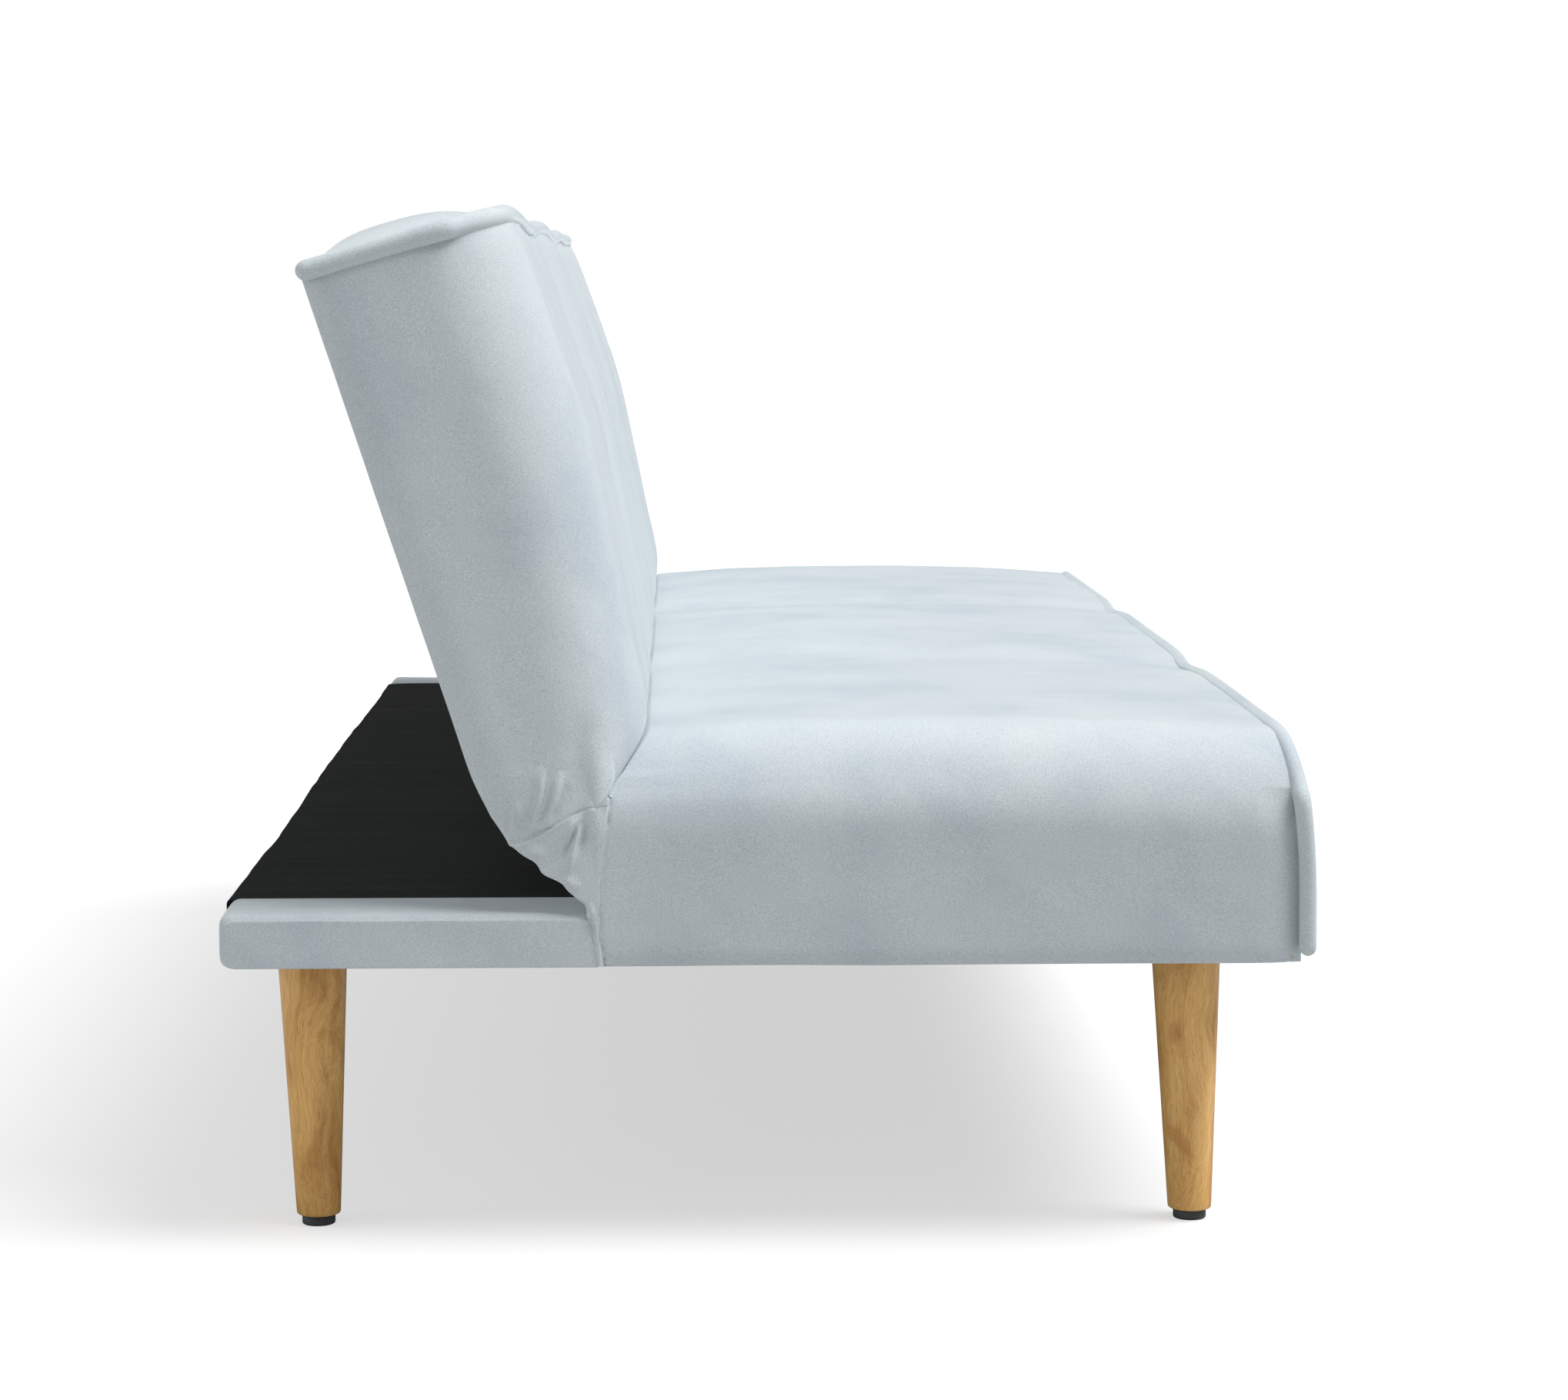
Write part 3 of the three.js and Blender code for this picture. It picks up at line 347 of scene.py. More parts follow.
class Paint:
    """A procedural material, and short ways to add nodes to it. Places are in metres, from the piece's origin."""

    def __init__(self, name, color, roughness, **sockets):
        self.material = bpy.data.materials.new(name)
        self.material.use_nodes = True
        self.tree = self.material.node_tree
        self.shader = self.tree.nodes["Principled BSDF"]
        self.shader.inputs["Base Color"].default_value = (*color, 1)
        self.shader.inputs["Roughness"].default_value = roughness
        for socket, value in sockets.items():
            self.shader.inputs[socket.replace("_", " ")].default_value = value
        self.place = self.add("ShaderNodeTexCoord").outputs["Object"]

    def add(self, kind, **settings):
        node = self.tree.nodes.new(kind)
        for setting, value in settings.items():
            setattr(node, setting, value)
        return node

    def link(self, start, end):
        self.tree.links.new(start, end)

    def turned(self, angles=(0, 0, 0), stretch=(1, 1, 1), start=None):
        """Places turned by angles in degrees, where a pattern is then stretched along the turned axes."""
        mapping = self.add("ShaderNodeMapping", vector_type="TEXTURE")
        mapping.inputs["Rotation"].default_value = [math.radians(a) for a in angles]
        mapping.inputs["Scale"].default_value = stretch
        self.link(start or self.place, mapping.inputs["Vector"])
        return mapping.outputs["Vector"]

    def noise(self, scale, detail=2, rough=0.5, start=None, distortion=0):
        node = self.add("ShaderNodeTexNoise")
        for socket, value in [("Scale", scale), ("Detail", detail), ("Roughness", rough), ("Distortion", distortion)]:
            node.inputs[socket].default_value = value
        self.link(start or self.place, node.inputs["Vector"])
        return node.outputs["Fac"]

    def math(self, operation, first, second):
        node = self.add("ShaderNodeMath", operation=operation)
        for socket, value in zip(node.inputs, (first, second)):
            if isinstance(value, (int, float)):
                socket.default_value = value
            else:
                self.link(value, socket)
        return node.outputs["Value"]

    def colors(self, value, stops):
        node = self.add("ShaderNodeValToRGB")
        while len(node.color_ramp.elements) < len(stops):
            node.color_ramp.elements.new(0.5)
        for element, (position, color) in zip(node.color_ramp.elements, stops):
            element.position = position
            element.color = (*color, 1)
        self.link(value, node.inputs["Fac"])
        return node.outputs["Color"]

    def mixed(self, blend, share, first, second):
        node = self.add("ShaderNodeMix", data_type="RGBA", blend_type=blend)
        if isinstance(share, (int, float)):
            node.inputs["Factor"].default_value = share
        else:
            self.link(share, node.inputs["Factor"])
        self.link(first, node.inputs["A"])
        self.link(second, node.inputs["B"])
        return node.outputs["Result"]

    def bumps(self, *layers):
        """Each layer is (height, strength, distance in metres)."""
        normal = None
        for height, strength, distance in layers:
            node = self.add("ShaderNodeBump")
            node.inputs["Strength"].default_value = strength
            node.inputs["Distance"].default_value = distance
            self.link(height, node.inputs["Height"])
            if normal:
                self.link(normal, node.inputs["Normal"])
            normal = node.outputs["Normal"]
        self.link(normal, self.shader.inputs["Normal"])
        return self.material


def velvet_material():
    """Pale blue velvet: fine leaning pile in short strokes, with soft patches where the nap lies another way."""
    paint = Paint("velvet", (0.54, 0.595, 0.62), 0.9, Sheen_Weight=0.5, Sheen_Roughness=0.35,
                  Specular_IOR_Level=0.15)
    paint.shader.inputs["Sheen Tint"].default_value = (0.93, 0.98, 1, 1)
    strokes = paint.turned((-58, 0, 0), (1, 1, 1.8))
    pile = paint.noise(1350, 2, 0.6, strokes)
    grain = paint.noise(1500, 1, 0.5)
    nap = paint.noise(46, 3, 0.55, strokes)
    patches = paint.noise(9, 2, 0.5, paint.turned((-18, 0, 0), (1, 1, 2)))
    fine = paint.math("ADD", paint.math("MULTIPLY", pile, 0.7), paint.math("MULTIPLY", grain, 0.3))
    wide = paint.math("ADD", paint.math("MULTIPLY", nap, 0.22), paint.math("MULTIPLY", patches, 0.78))
    base = paint.colors(wide, [(0.34, (0.475, 0.53, 0.582)), (0.5, (0.535, 0.59, 0.618)), (0.68, (0.565, 0.62, 0.64))])
    tone = paint.colors(fine, [(0.3, (0.7, 0.71, 0.73)), (0.5, (0.95, 0.95, 0.95)), (0.72, (1.17, 1.16, 1.14))])
    paint.link(paint.mixed("MULTIPLY", 1, base, tone), paint.shader.inputs["Base Color"])
    return paint.bumps((nap, 0.12, 0.0012), (pile, 0.35, 0.0004), (grain, 0.2, 0.0002))


def lining_material():
    """Black lining: a fine diagonal weave with a faint shine."""
    paint = Paint("lining", (0.013, 0.0135, 0.0135), 0.8, Specular_IOR_Level=0.12)
    twill = paint.add("ShaderNodeTexWave", wave_type="BANDS", bands_direction="DIAGONAL")
    twill.inputs["Scale"].default_value = 210
    twill.inputs["Distortion"].default_value = 0.8
    paint.link(paint.place, twill.inputs["Vector"])
    threads = paint.noise(1100, 1, 0.5, paint.turned((0, 0, 40), (1, 5, 1)))
    slack = paint.noise(30, 3, 0.5, paint.turned((0, 0, 0), (1, 8, 1)))
    mix = paint.math("ADD", paint.math("MULTIPLY", twill.outputs["Fac"], 0.35), paint.math("MULTIPLY", slack, 0.65))
    tone = paint.colors(mix, [(0.25, (0.009, 0.0095, 0.0095)), (0.5, (0.014, 0.0145, 0.0145)), (0.75, (0.02, 0.021, 0.021))])
    paint.link(tone, paint.shader.inputs["Base Color"])
    return paint.bumps((slack, 0.35, 0.002), (twill.outputs["Fac"], 0.35, 0.0004), (threads, 0.25, 0.0003))


def wood_material(name, dark, middle, light, roughness, offset=(0, 0, 0), ring=1.0, figure=0.0):
    """Straight-grained wood: long streaks, fine pores and slow changes of tone. Figure bends the grain and adds
    dark clouds and small knots."""
    paint = Paint(name, middle, roughness, Specular_IOR_Level=0.45)
    moved = paint.add("ShaderNodeVectorMath", operation="ADD")
    moved.inputs[1].default_value = offset
    paint.link(paint.place, moved.inputs[0])
    start = moved.outputs["Vector"]
    if figure:
        swirl = paint.add("ShaderNodeTexNoise")
        swirl.inputs["Scale"].default_value = 11
        paint.link(start, swirl.inputs["Vector"])
        bend = paint.add("ShaderNodeVectorMath", operation="MULTIPLY_ADD")
        bend.inputs[1].default_value = [0.045 * figure] * 3
        paint.link(swirl.outputs["Color"], bend.inputs[0])
        paint.link(start, bend.inputs[2])
        grain_start = bend.outputs["Vector"]
    else:
        grain_start = start
    long = paint.turned((0, 0, 0), (1, 1, 22), grain_start)
    broad = paint.noise(85 * ring, 3, 0.6, long, 0.8)
    streaks = paint.noise(330, 3, 0.65, long, 0.2)
    pores = paint.noise(1500, 2, 0.6, paint.turned((0, 0, 0), (1, 1, 20), grain_start))
    tone = paint.math("ADD", paint.math("MULTIPLY", broad, 0.62), paint.math("MULTIPLY", streaks, 0.38))
    base = paint.colors(tone, [(0.32, dark), (0.5, middle), (0.66, light)])
    fine = paint.colors(pores, [(0.36, (0.78, 0.74, 0.68)), (0.5, (1, 1, 1)), (0.75, (1.06, 1.06, 1.05))])
    color = paint.mixed("MULTIPLY", 1, base, fine)
    if figure:
        clouds = paint.noise(24, 3, 0.5, paint.turned((0, 0, 0), (1, 1, 2.4), grain_start), 0.6)
        shade = paint.colors(clouds, [(0.38, (0.76, 0.64, 0.5)), (0.5, (0.98, 0.96, 0.92)), (0.62, (1.08, 1.1, 1.12))])
        knots = paint.add("ShaderNodeTexVoronoi")
        knots.inputs["Scale"].default_value = 15
        paint.link(paint.turned((0, 0, 0), (1, 1, 1.8), start), knots.inputs["Vector"])
        spots = paint.colors(knots.outputs["Distance"],
                             [(0.03, (0.3, 0.18, 0.12)), (0.075, (0.72, 0.6, 0.5)), (0.13, (1, 1, 1))])
        color = paint.mixed("MULTIPLY", 1, paint.mixed("MULTIPLY", 1, color, shade), spots)
    paint.link(color, paint.shader.inputs["Base Color"])
    return paint.bumps((streaks, 0.12, 0.0006), (pores, 0.2, 0.0002))


def metal_material(name, dark, light, roughness, scale):
    """Plated or drawn steel: a fine mottled bloom under faint scratches."""
    paint = Paint(name, light, roughness, Metallic=0.9)
    bloom = paint.noise(scale, 4, 0.6)
    scratches = paint.noise(900, 2, 0.7, paint.turned((0, 0, 20), (1, 20, 1)))
    paint.link(paint.colors(bloom, [(0.35, dark), (0.65, light)]), paint.shader.inputs["Base Color"])
    return paint.bumps((bloom, 0.1, 0.0004), (scratches, 0.12, 0.0001))


def plastic_material():
    """Dark moulded plastic with a fine spark-eroded grain."""
    paint = Paint("glide_plastic", (0.045, 0.055, 0.06), 0.55)
    grain = paint.noise(1400, 2, 0.6)
    cast = paint.noise(60, 3, 0.5)
    paint.link(paint.colors(cast, [(0.3, (0.036, 0.044, 0.048)), (0.7, (0.058, 0.068, 0.073))]),
               paint.shader.inputs["Base Color"])
    return paint.bumps((grain, 0.3, 0.0002))


def foam_material():
    """Open foam: fine cells with a yellowed tone in places."""
    paint = Paint("foam", (0.8, 0.76, 0.58), 0.95)
    cells = paint.add("ShaderNodeTexVoronoi")
    cells.inputs["Scale"].default_value = 650
    paint.link(paint.place, cells.inputs["Vector"])
    age = paint.noise(12, 3, 0.5)
    paint.link(paint.colors(age, [(0.3, (0.74, 0.68, 0.47)), (0.7, (0.84, 0.81, 0.64))]),
               paint.shader.inputs["Base Color"])
    return paint.bumps((cells.outputs["Distance"], 0.5, 0.0006))


def elastic_material():
    """Woven elastic: cross ribs with darker edges to the threads."""
    paint = Paint("elastic", (0.07, 0.066, 0.06), 0.85)
    ribs = paint.add("ShaderNodeTexWave", wave_type="BANDS", bands_direction="X")
    ribs.inputs["Scale"].default_value = 160
    paint.link(paint.place, ribs.inputs["Vector"])
    wear = paint.noise(90, 3, 0.6)
    paint.link(paint.colors(wear, [(0.3, (0.05, 0.047, 0.043)), (0.7, (0.095, 0.09, 0.082))]),
               paint.shader.inputs["Base Color"])
    return paint.bumps((ribs.outputs["Fac"], 0.5, 0.0005))


velvet = velvet_material()
lining = lining_material()
pine = wood_material("pine", (0.50, 0.33, 0.16), (0.64, 0.46, 0.25), (0.74, 0.58, 0.36), 0.7, ring=0.5)
zinc_steel = metal_material("zinc_steel", (0.42, 0.44, 0.47), (0.62, 0.64, 0.66), 0.35, 120)
spring_steel = metal_material("spring_steel", (0.12, 0.13, 0.14), (0.24, 0.26, 0.28), 0.4, 300)
glide_plastic = plastic_material()
foam = foam_material()
elastic = elastic_material()


def finish_kept_nodes():
    """Each CAD node that stays gets the material of its slot."""
    finishes = {"velvet": velvet, "lining": lining, "foam": foam, "elastic": elastic, "pine": pine,
                "zinc_steel": zinc_steel, "spring_steel": spring_steel, "glide_plastic": glide_plastic,
                "leg_wood": pine}
    for subpart in frame["record"]["subparts"]:
        node = frame["nodes"][subpart["node"]]
        for place in node.material_slots:
            place.link = "OBJECT"
            place.material = finishes[subpart["material_slot"]]


# Cloth at the hinge line's left end, as [y, z] lines; the right end has it too. The cloth laps over the foot
# of the back, down to the seam, and goes on to the hem.
LAP_TOP = [(236.5, 392), (200, 389), (165, 383), (143, 370), (129, 355), (122, 344)]
LAP_REAR = [(236, 392), (231.5, 380), (228, 368.5), (225.4, 360), (222.4, 351.5), (219, 342.6), (214.3, 331.5),
            (209.3, 324), (204.7, 317), (199.5, 308.5)]
LAP_CREASE = [(122, 344), (122.4, 342.2), (122.8, 340.5)]
SEAM = [(199.5, 308.5), (193.5, 309.8), (187.3, 312.3), (178.6, 316.6), (169.8, 322.1), (159.3, 328.4), (152.3, 331.9),
        (145.3, 335.2), (138.2, 337.9), (122.8, 340.5)]
SEAT_SEAM = [(122.8, 340.5), (124.2, 327), (125.8, 309), (127.5, 293), (128.9, 277), (130, 261), (130.3, 249),
             (129.6, 238), (128.4, 228), (127.2, 216)]
HEM = [(199.5, 308.5), (196, 306.6), (190.5, 302), (185.5, 298.8), (180.5, 296), (177.3, 292.5), (175, 288.3), (171.5, 285.4),
       (167.2, 283.6), (161.5, 281), (158.2, 278.6), (155, 274.5), (151.3, 271.5), (146, 267.5), (142, 265.4), (140.6, 263),
       (139.8, 259), (139.9, 255), (137, 250.6), (135.7, 246), (134.9, 240), (134, 231), (132.6, 216)]
CLOTH_FOOT = [(132.6, 216), (127.2, 216)]
CLOTH_FOLDS = [
    ([(187.8, 316.5), (185.6, 323.6), (182.6, 331.8), (179.1, 340), (176, 349), (172, 378)], 3.4, 2.9, True),
    ([(192, 317), (189, 327.2), (185, 337), (179.5, 366)], -2.6, 2.4, True),
    ([(175.6, 323), (172.1, 330.7), (168, 338.8), (163.5, 350), (158, 375)], 3.2, 3.1, True),
    ([(180.9, 320), (175.6, 333), (172.1, 341.2), (166, 372)], -2.8, 2.4, True),
    ([(169, 327), (164, 335), (158, 345), (155, 360)], -2.2, 3, True),
    ([(197.5, 317), (194.3, 330.7), (190, 346)], 2.4, 2.6, True),
    ([(201, 315), (198.5, 326), (195.5, 338)], -1.8, 2.2, True),
    ([(138, 322), (136.2, 334), (135.9, 340), (135, 346)], 1.8, 4.2, False),
    ([(144, 331), (145.3, 320.1), (148.8, 312), (151.7, 301.5), (154, 292.1), (155.8, 280)], 4.6, 2.7, True),
    ([(141.5, 333), (144.7, 331), (150.5, 326), (153.4, 319), (154.8, 311), (157, 300)], 3.2, 2.4, True),
    ([(147.5, 325), (149.6, 319), (152.4, 312.1), (155.4, 305.1), (158.7, 294)], -4, 2.2, True),
    ([(142.4, 330.7), (141.8, 322.5), (144.1, 313.1), (147, 300)], -3, 2.8, True),
    ([(138.4, 261), (136.6, 258.2), (135.8, 253)], 2.6, 2.2, False),
    ([(187, 304), (178, 303), (168, 301)], 1.6, 5, True),
    ([(162, 283), (152, 280), (143, 276)], 1.8, 4, True),
]
CLOTH_THICKNESS = 1.6
CLOTH_ACROSS = 72
CLOTH_TUCK = 9
ROWS_CLOSER = 0.7


# Cushions

def draw_in(x):
    """How much a cushion is drawn in at its channels, from 0 to 1."""
    return sum(np.exp(-(((x - place) / CHANNEL_WIDTH) ** 2)) for place in CHANNELS)


def cushion_stations():
    """Places of the sections: even along the sofa, and closer together round the curve at each end."""
    count = 2 * round(END_STRAIGHT / STEP)
    middle = np.linspace(-END_STRAIGHT, END_STRAIGHT, count + 1)
    turn = END_TURN * (1 - (1 - np.linspace(0, 1, 21)[1:]) ** 1.6)
    right = END_STRAIGHT + END_RADIUS * np.sin(turn)
    return np.concatenate([-right[::-1], middle, right])


def end_fall(x):
    """How far a cushion's face falls back at its round end."""
    into = max(0, abs(x) - END_STRAIGHT) / END_RADIUS
    return END_FALL * (1 - math.sqrt(1 - into**2))


def seat_lean(z):
    return (np.maximum(0, z - SEAT_UPRIGHT) / (SEAT_EDGE - SEAT_UPRIGHT)) ** 2


SEAT_UP, SEAT_ALONG = 40, 110
BACK_UP, BACK_ALONG = 110, 36


def around(*sides_and_counts):
    """One closed loop of points from a section's four sides, closer together near its corners."""
    return np.vstack([spread(line, count, CLOSER)[:-1] for line, count in sides_and_counts])


def seat_section(x):
    squeeze = 1 - end_fall(x) / (SEAT_TOP - UNDERSIDE)
    sunk = CHANNEL_DEPTH * draw_in(x)

    def up(z):
        return UNDERSIDE + (z - UNDERSIDE) * squeeze

    def front_at(z):
        return (SEAT_FACE + (SEAT_FRONT_LEAN + sunk) * seat_lean(z), z)

    front = [front_at(up(z)) for z in np.linspace(UNDERSIDE, SEAT_EDGE - sunk, 20)]
    slope_share = (up(SEAT_EDGE - sunk) - SLOPE_FOOT) / (SEAT_EDGE - SLOPE_FOOT)
    slope_top = SEAT_REAR - SEAT_SLOPE_DEPTH * slope_share
    top = []
    for share in np.linspace(0, 1, 40):
        bulge = 1 - abs(2 * share - 1) ** 2.6
        top.append((front[-1][0] + (slope_top - front[-1][0]) * share, up(SEAT_EDGE - sunk + SEAT_CROWN * bulge)))
    rear = [top[-1], (SEAT_REAR, SLOPE_FOOT), (SEAT_REAR, UNDERSIDE)]
    bottom = [rear[-1], front[0]]
    return around((front, SEAT_UP), (top, SEAT_ALONG), (rear, SEAT_UP), (bottom, SEAT_ALONG))


def to_back(y, z):
    """A place in the back's own axes: square to its rear face, and up its slope, from the pivot."""
    dy, dz = y - PIVOT_Y, z - PIVOT_Z
    return dy * math.cos(LEAN) - dz * math.sin(LEAN), dy * math.sin(LEAN) + dz * math.cos(LEAN)


def from_back(n, s):
    return PIVOT_Y + n * math.cos(LEAN) + s * math.sin(LEAN), PIVOT_Z - n * math.sin(LEAN) + s * math.cos(LEAN)


def back_sag(x):
    """How far the back's top front edge hangs in its soft kinks."""
    return sum(depth * np.exp(-(((x - place) / SAG_WIDTH) ** 2)) for place, depth in BACK_SAGS)


def back_section(x):
    squeeze = 1 - end_fall(x) / BACK_THICKNESS
    sunk = CHANNEL_DEPTH * draw_in(x)
    sag = back_sag(x)
    dome = BACK_TOP_DOME * (1 - min(1, abs(x) / END) ** BACK_DOME_POWER)

    def forward(n):
        return BACK_REAR - (BACK_REAR - n) * squeeze

    def fall_at(n):
        return BACK_TOP_FALL * (BACK_REAR - n) / BACK_THICKNESS

    slope = np.array([SEAT_EDGE - SLOPE_FOOT, SEAT_SLOPE_DEPTH])
    slope *= BACK_CLEARANCE / np.linalg.norm(slope)
    crease = to_back(SEAT_REAR - SEAT_SLOPE_DEPTH + slope[0], SEAT_EDGE + slope[1])
    foot = to_back(SEAT_REAR + slope[0], SLOPE_FOOT + slope[1])
    crease_n = forward(crease[0] + sunk)
    crease_s = crease[1] + (crease_n - crease[0]) * (foot[1] - crease[1]) / (foot[0] - crease[0])
    slope_foot, corner = np.array(foot), np.array([crease_n, crease_s])
    down = (slope_foot - corner) / np.linalg.norm(slope_foot - corner)
    front = [slope_foot, corner + 24 * down, corner + 9 * down]
    for height, thick in reversed(BACK_FRONT):
        n = forward(BACK_REAR - BACK_THICKNESS * thick + sunk + 0.5 * sag * ramp(height, 0.5, 1))
        drop = fall_at(n) + sunk + sag if height == 1 else 0
        front.append((n, BACK_FOOT_RISE + BACK_LENGTH * height - drop))
    up_front = np.array(front[3]) - corner
    front.insert(3, corner + 11 * up_front / np.linalg.norm(up_front))
    front = [slope_foot, *curved(front[1:], 60)]
    top = []
    for share in np.linspace(0, 1, 24):
        n = front[-1][0] + (BACK_REAR - front[-1][0]) * share
        full = 1 - abs(2 * share**1.3 - 1) ** 3.2
        top.append((n, BACK_TOP - fall_at(n) + dome * full - (sunk + sag) * (1 - share)))
    foot_round = curved([(BACK_REAR - inset, s) for inset, s in BACK_FOOT_PROFILE], 40)
    rear = [(BACK_REAR, BACK_TOP), *foot_round]
    bottom = [rear[-1], front[0]]
    loop = around((front, BACK_UP), (top, BACK_ALONG), (rear, BACK_UP), (bottom, BACK_ALONG))
    return [from_back(n, s) for n, s in loop]


# Wide folds on the back's end faces, as [y, z] lines with their height and width
BACK_FOLDS = [
    ([(176, 321), (166, 339), (159, 351), (156, 364), (158, 380)], -2.4, 7, False),
    ([(141, 330), (144, 352), (147, 369), (147, 383), (144, 397), (142, 420)], -3.4, 9, False),
    ([(134.5, 326), (134, 340), (133, 352), (131.5, 362), (130.5, 374), (130.5, 400)], 2.2, 7.5, False),
]


def end_folds(points, normal, lines):
    """Folds drawn on both end faces of a form."""
    facing = ramp(np.abs(normal[:, 0]), 0.5, 0.95) * (np.abs(points[:, 0]) > END - END_RADIUS)
    out = np.zeros(len(points))
    near = facing > 0
    out[near] = folds(points[near][:, 1:], lines) * facing[near]
    return out


def skin_of(points, faces):
    """A skin that rays can be cast at."""
    return BVHTree.FromPolygons(points.tolist(), [tuple(int(i) for i in f) for f in faces])


def make_seat():
    points, faces, ends = closed_form(cushion_stations(), seat_section, SEAT_UP, SEAT_ALONG)
    soft = END_FALL * END_SOFTNESS
    points = swell_ends(points, ends, {"front": (soft, 1), "top": (soft, 1), "foot": (14, 0.4)})
    points = smoothed(points, faces, 2)
    normal = outward(points, faces)
    x, y, z = points.T
    resting = ramp(y, SEAT_REAR - SEAT_SLOPE_DEPTH - 40, SEAT_REAR - SEAT_SLOPE_DEPTH - 4)
    free = (1 - resting * (np.abs(x) < END - 20)) * ramp(z, UNDERSIDE, UNDERSIDE + 25)
    swell = 1.3 * ripple(points, 170, 1) + 0.6 * ripple(points, 60, 2) + 0.25 * ripple(points, 22, 3)
    seam = np.exp(-((SEAT_EDGE - z) / 14) ** 2) * ramp(-normal[:, 1], 0.3, 0.9)
    swell += 0.5 * seam * ripple(points, (16, 60, 60), 4)
    swell = swell * free + end_folds(points, normal, [([*SEAT_SEAM, (127.2, 100)], -2.2, 1.7, False)])
    points = points + normal * swell[:, None]
    hem = 0.8 * ripple(points, 90, 5) * (1 - ramp(z, UNDERSIDE, UNDERSIDE + 20))
    inner = ramp(END - np.abs(points[:, 0]), HEM_RIM, HEM_RIM + 4) * ramp(points[:, 1] - SEAT_FACE, HEM_RIM, HEM_RIM + 4)
    under = ramp(-normal[:, 2], 0.8, 0.95)
    points[:, 2] += hem * (1 - inner) + HEM_RISE * inner * under
    seat = make_piece("seat_cushion", points, faces, velvet)
    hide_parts("seat_cover", "seat_foam")
    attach(seat, "base")
    return skin_of(points, faces)


def make_back():
    seam = END - PANEL_BORDER
    points, faces, ends = closed_form(cushion_stations(), back_section, BACK_UP, BACK_ALONG)
    soft = END_FALL * END_SOFTNESS
    points = swell_ends(points, ends, {"front": (soft, 1), "rear": (30, 0.8), "top": (16, 0.75)}, CREASE_RISE)
    points = smoothed(points, faces, 2)
    normal = outward(points, faces)
    x, y, z = points.T
    n, s = to_back(y, z)
    resting = (1 - ramp(s, 44, 90)) * ramp(END - np.abs(x), 8, 30)
    swell = 1.4 * ripple(points, 190, 11) + 0.7 * ripple(points, 70, 12) + 0.25 * ripple(points, 24, 13)
    swell = swell * (1 - resting) * (1 - 0.7 * ramp(n, BACK_REAR - 12, BACK_REAR - 2))
    swell += end_folds(points, normal, BACK_FOLDS)
    across = np.minimum(np.abs(np.abs(x) - seam), np.abs(s - (BACK_TOP - PANEL_BORDER)))
    across = np.minimum(across, np.abs(s - (BACK_FOOT_RISE + BACK_FOOT_ROUND + PANEL_BORDER / 2)))
    inside = (np.abs(x) < seam + 8) * (s < BACK_TOP - PANEL_BORDER + 8) * (s > BACK_FOOT_ROUND)
    swell -= 1.6 * np.exp(-((across / 4) ** 2)) * inside * ramp(n, BACK_REAR - 6, BACK_REAR - 2)
    points = points + normal * swell[:, None]
    back = make_piece("back_cushion", points, faces, velvet)
    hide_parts("back_cover", "back_foam", "back_rear_panel")
    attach(back, "back")
    return skin_of(points, faces)


# Piping

def piping_path(start, rise, out_at, seed, sag_at=None):
    """A piping line along the sofa, up and out of the face, with the small kinks of a sewn cord."""
    along = LENGTH / 2 - PIPING_RADIUS + 1.2
    tip = start + PIPING_RADIUS * (1 - np.cos(np.linspace(0, math.pi / 2, 7)))
    straight = np.linspace(tip[-1], rise - end_fall(END + 1 - END_SWELL), 26)[1:-1]
    side = [(along, up, out_at(up)) for up in [*tip, *straight]]
    for x in along - (along - END_STRAIGHT) * np.linspace(0, 1, 24) ** 1.5:
        up = rise - end_fall(min(x, END + 1 - END_SWELL))
        side.append((x, up, out_at(up)))
    for x in np.linspace(END_STRAIGHT, 0, 90)[1:]:
        sunk = CHANNEL_DEPTH * draw_in(x)
        side.append((x, rise - sunk, out_at(rise) - sunk))
    line = np.array(side + [(-x, up, out) for x, up, out in reversed(side[:-1])])
    if sag_at:
        edge = ramp(line[:, 1], rise - 50, rise)
        line[:, 1] -= 0.5 * edge * sag_at(line[:, 0])
        line[:, 2] -= edge * sag_at(line[:, 0])
    loose = ramp(along - np.abs(line[:, 0]), 0, 60)
    for axis, kink in [(1, 1.8), (2, 1.4)]:
        line[:, axis] += kink * loose * ripple(line * (0.14, 0.4, 0.4), 34, seed + axis)
    for _ in range(14):
        line[1:-1] = (line[:-2] + 2 * line[1:-1] + line[2:]) / 4
    return line


def make_piping():
    rise = SEAT_EDGE - PIPING_SEAT
    seat_line = piping_path(UNDERSIDE + 6, rise, lambda up: PIPING_SEAT - SEAT_FACE - SEAT_FRONT_LEAN * seat_lean(up), 21)
    seat_line = seat_line[:, [0, 2, 1]] * (1, -1, 1)
    back_rise = BACK_THICKNESS * BACK_FRONT[0][1] - BACK_REAR - PIPING_SEAT
    back_line = piping_path(-BACK_REAR - 2, back_rise, lambda up: BACK_TOP + PIPING_SEAT
                            - BACK_TOP_FALL * (BACK_REAR + up) / BACK_THICKNESS, 31, back_sag)
    back_line = np.array([(x, *from_back(-up, out)) for x, up, out in back_line])
    for name, line, body, thick in [("seat_welt", seat_line, "base", PIPING_RADIUS),
                                    ("back_welt", back_line, "back", BACK_CORD_RADIUS)]:
        run = np.concatenate([[0], np.cumsum(np.linalg.norm(np.diff(line, axis=0), axis=1))])
        from_tip = np.clip(np.minimum(run, run[-1] - run) / thick, 0.02, 1)
        radius = thick * np.sqrt(1 - (1 - from_tip) ** 2) * (1 + 0.02 * ripple(line, 60, 41))
        points, faces = tube_form(line, radius, 18)
        welt = make_piece(name, points, faces, velvet)
        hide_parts(name.replace("welt", "piping"))
        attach(welt, body)


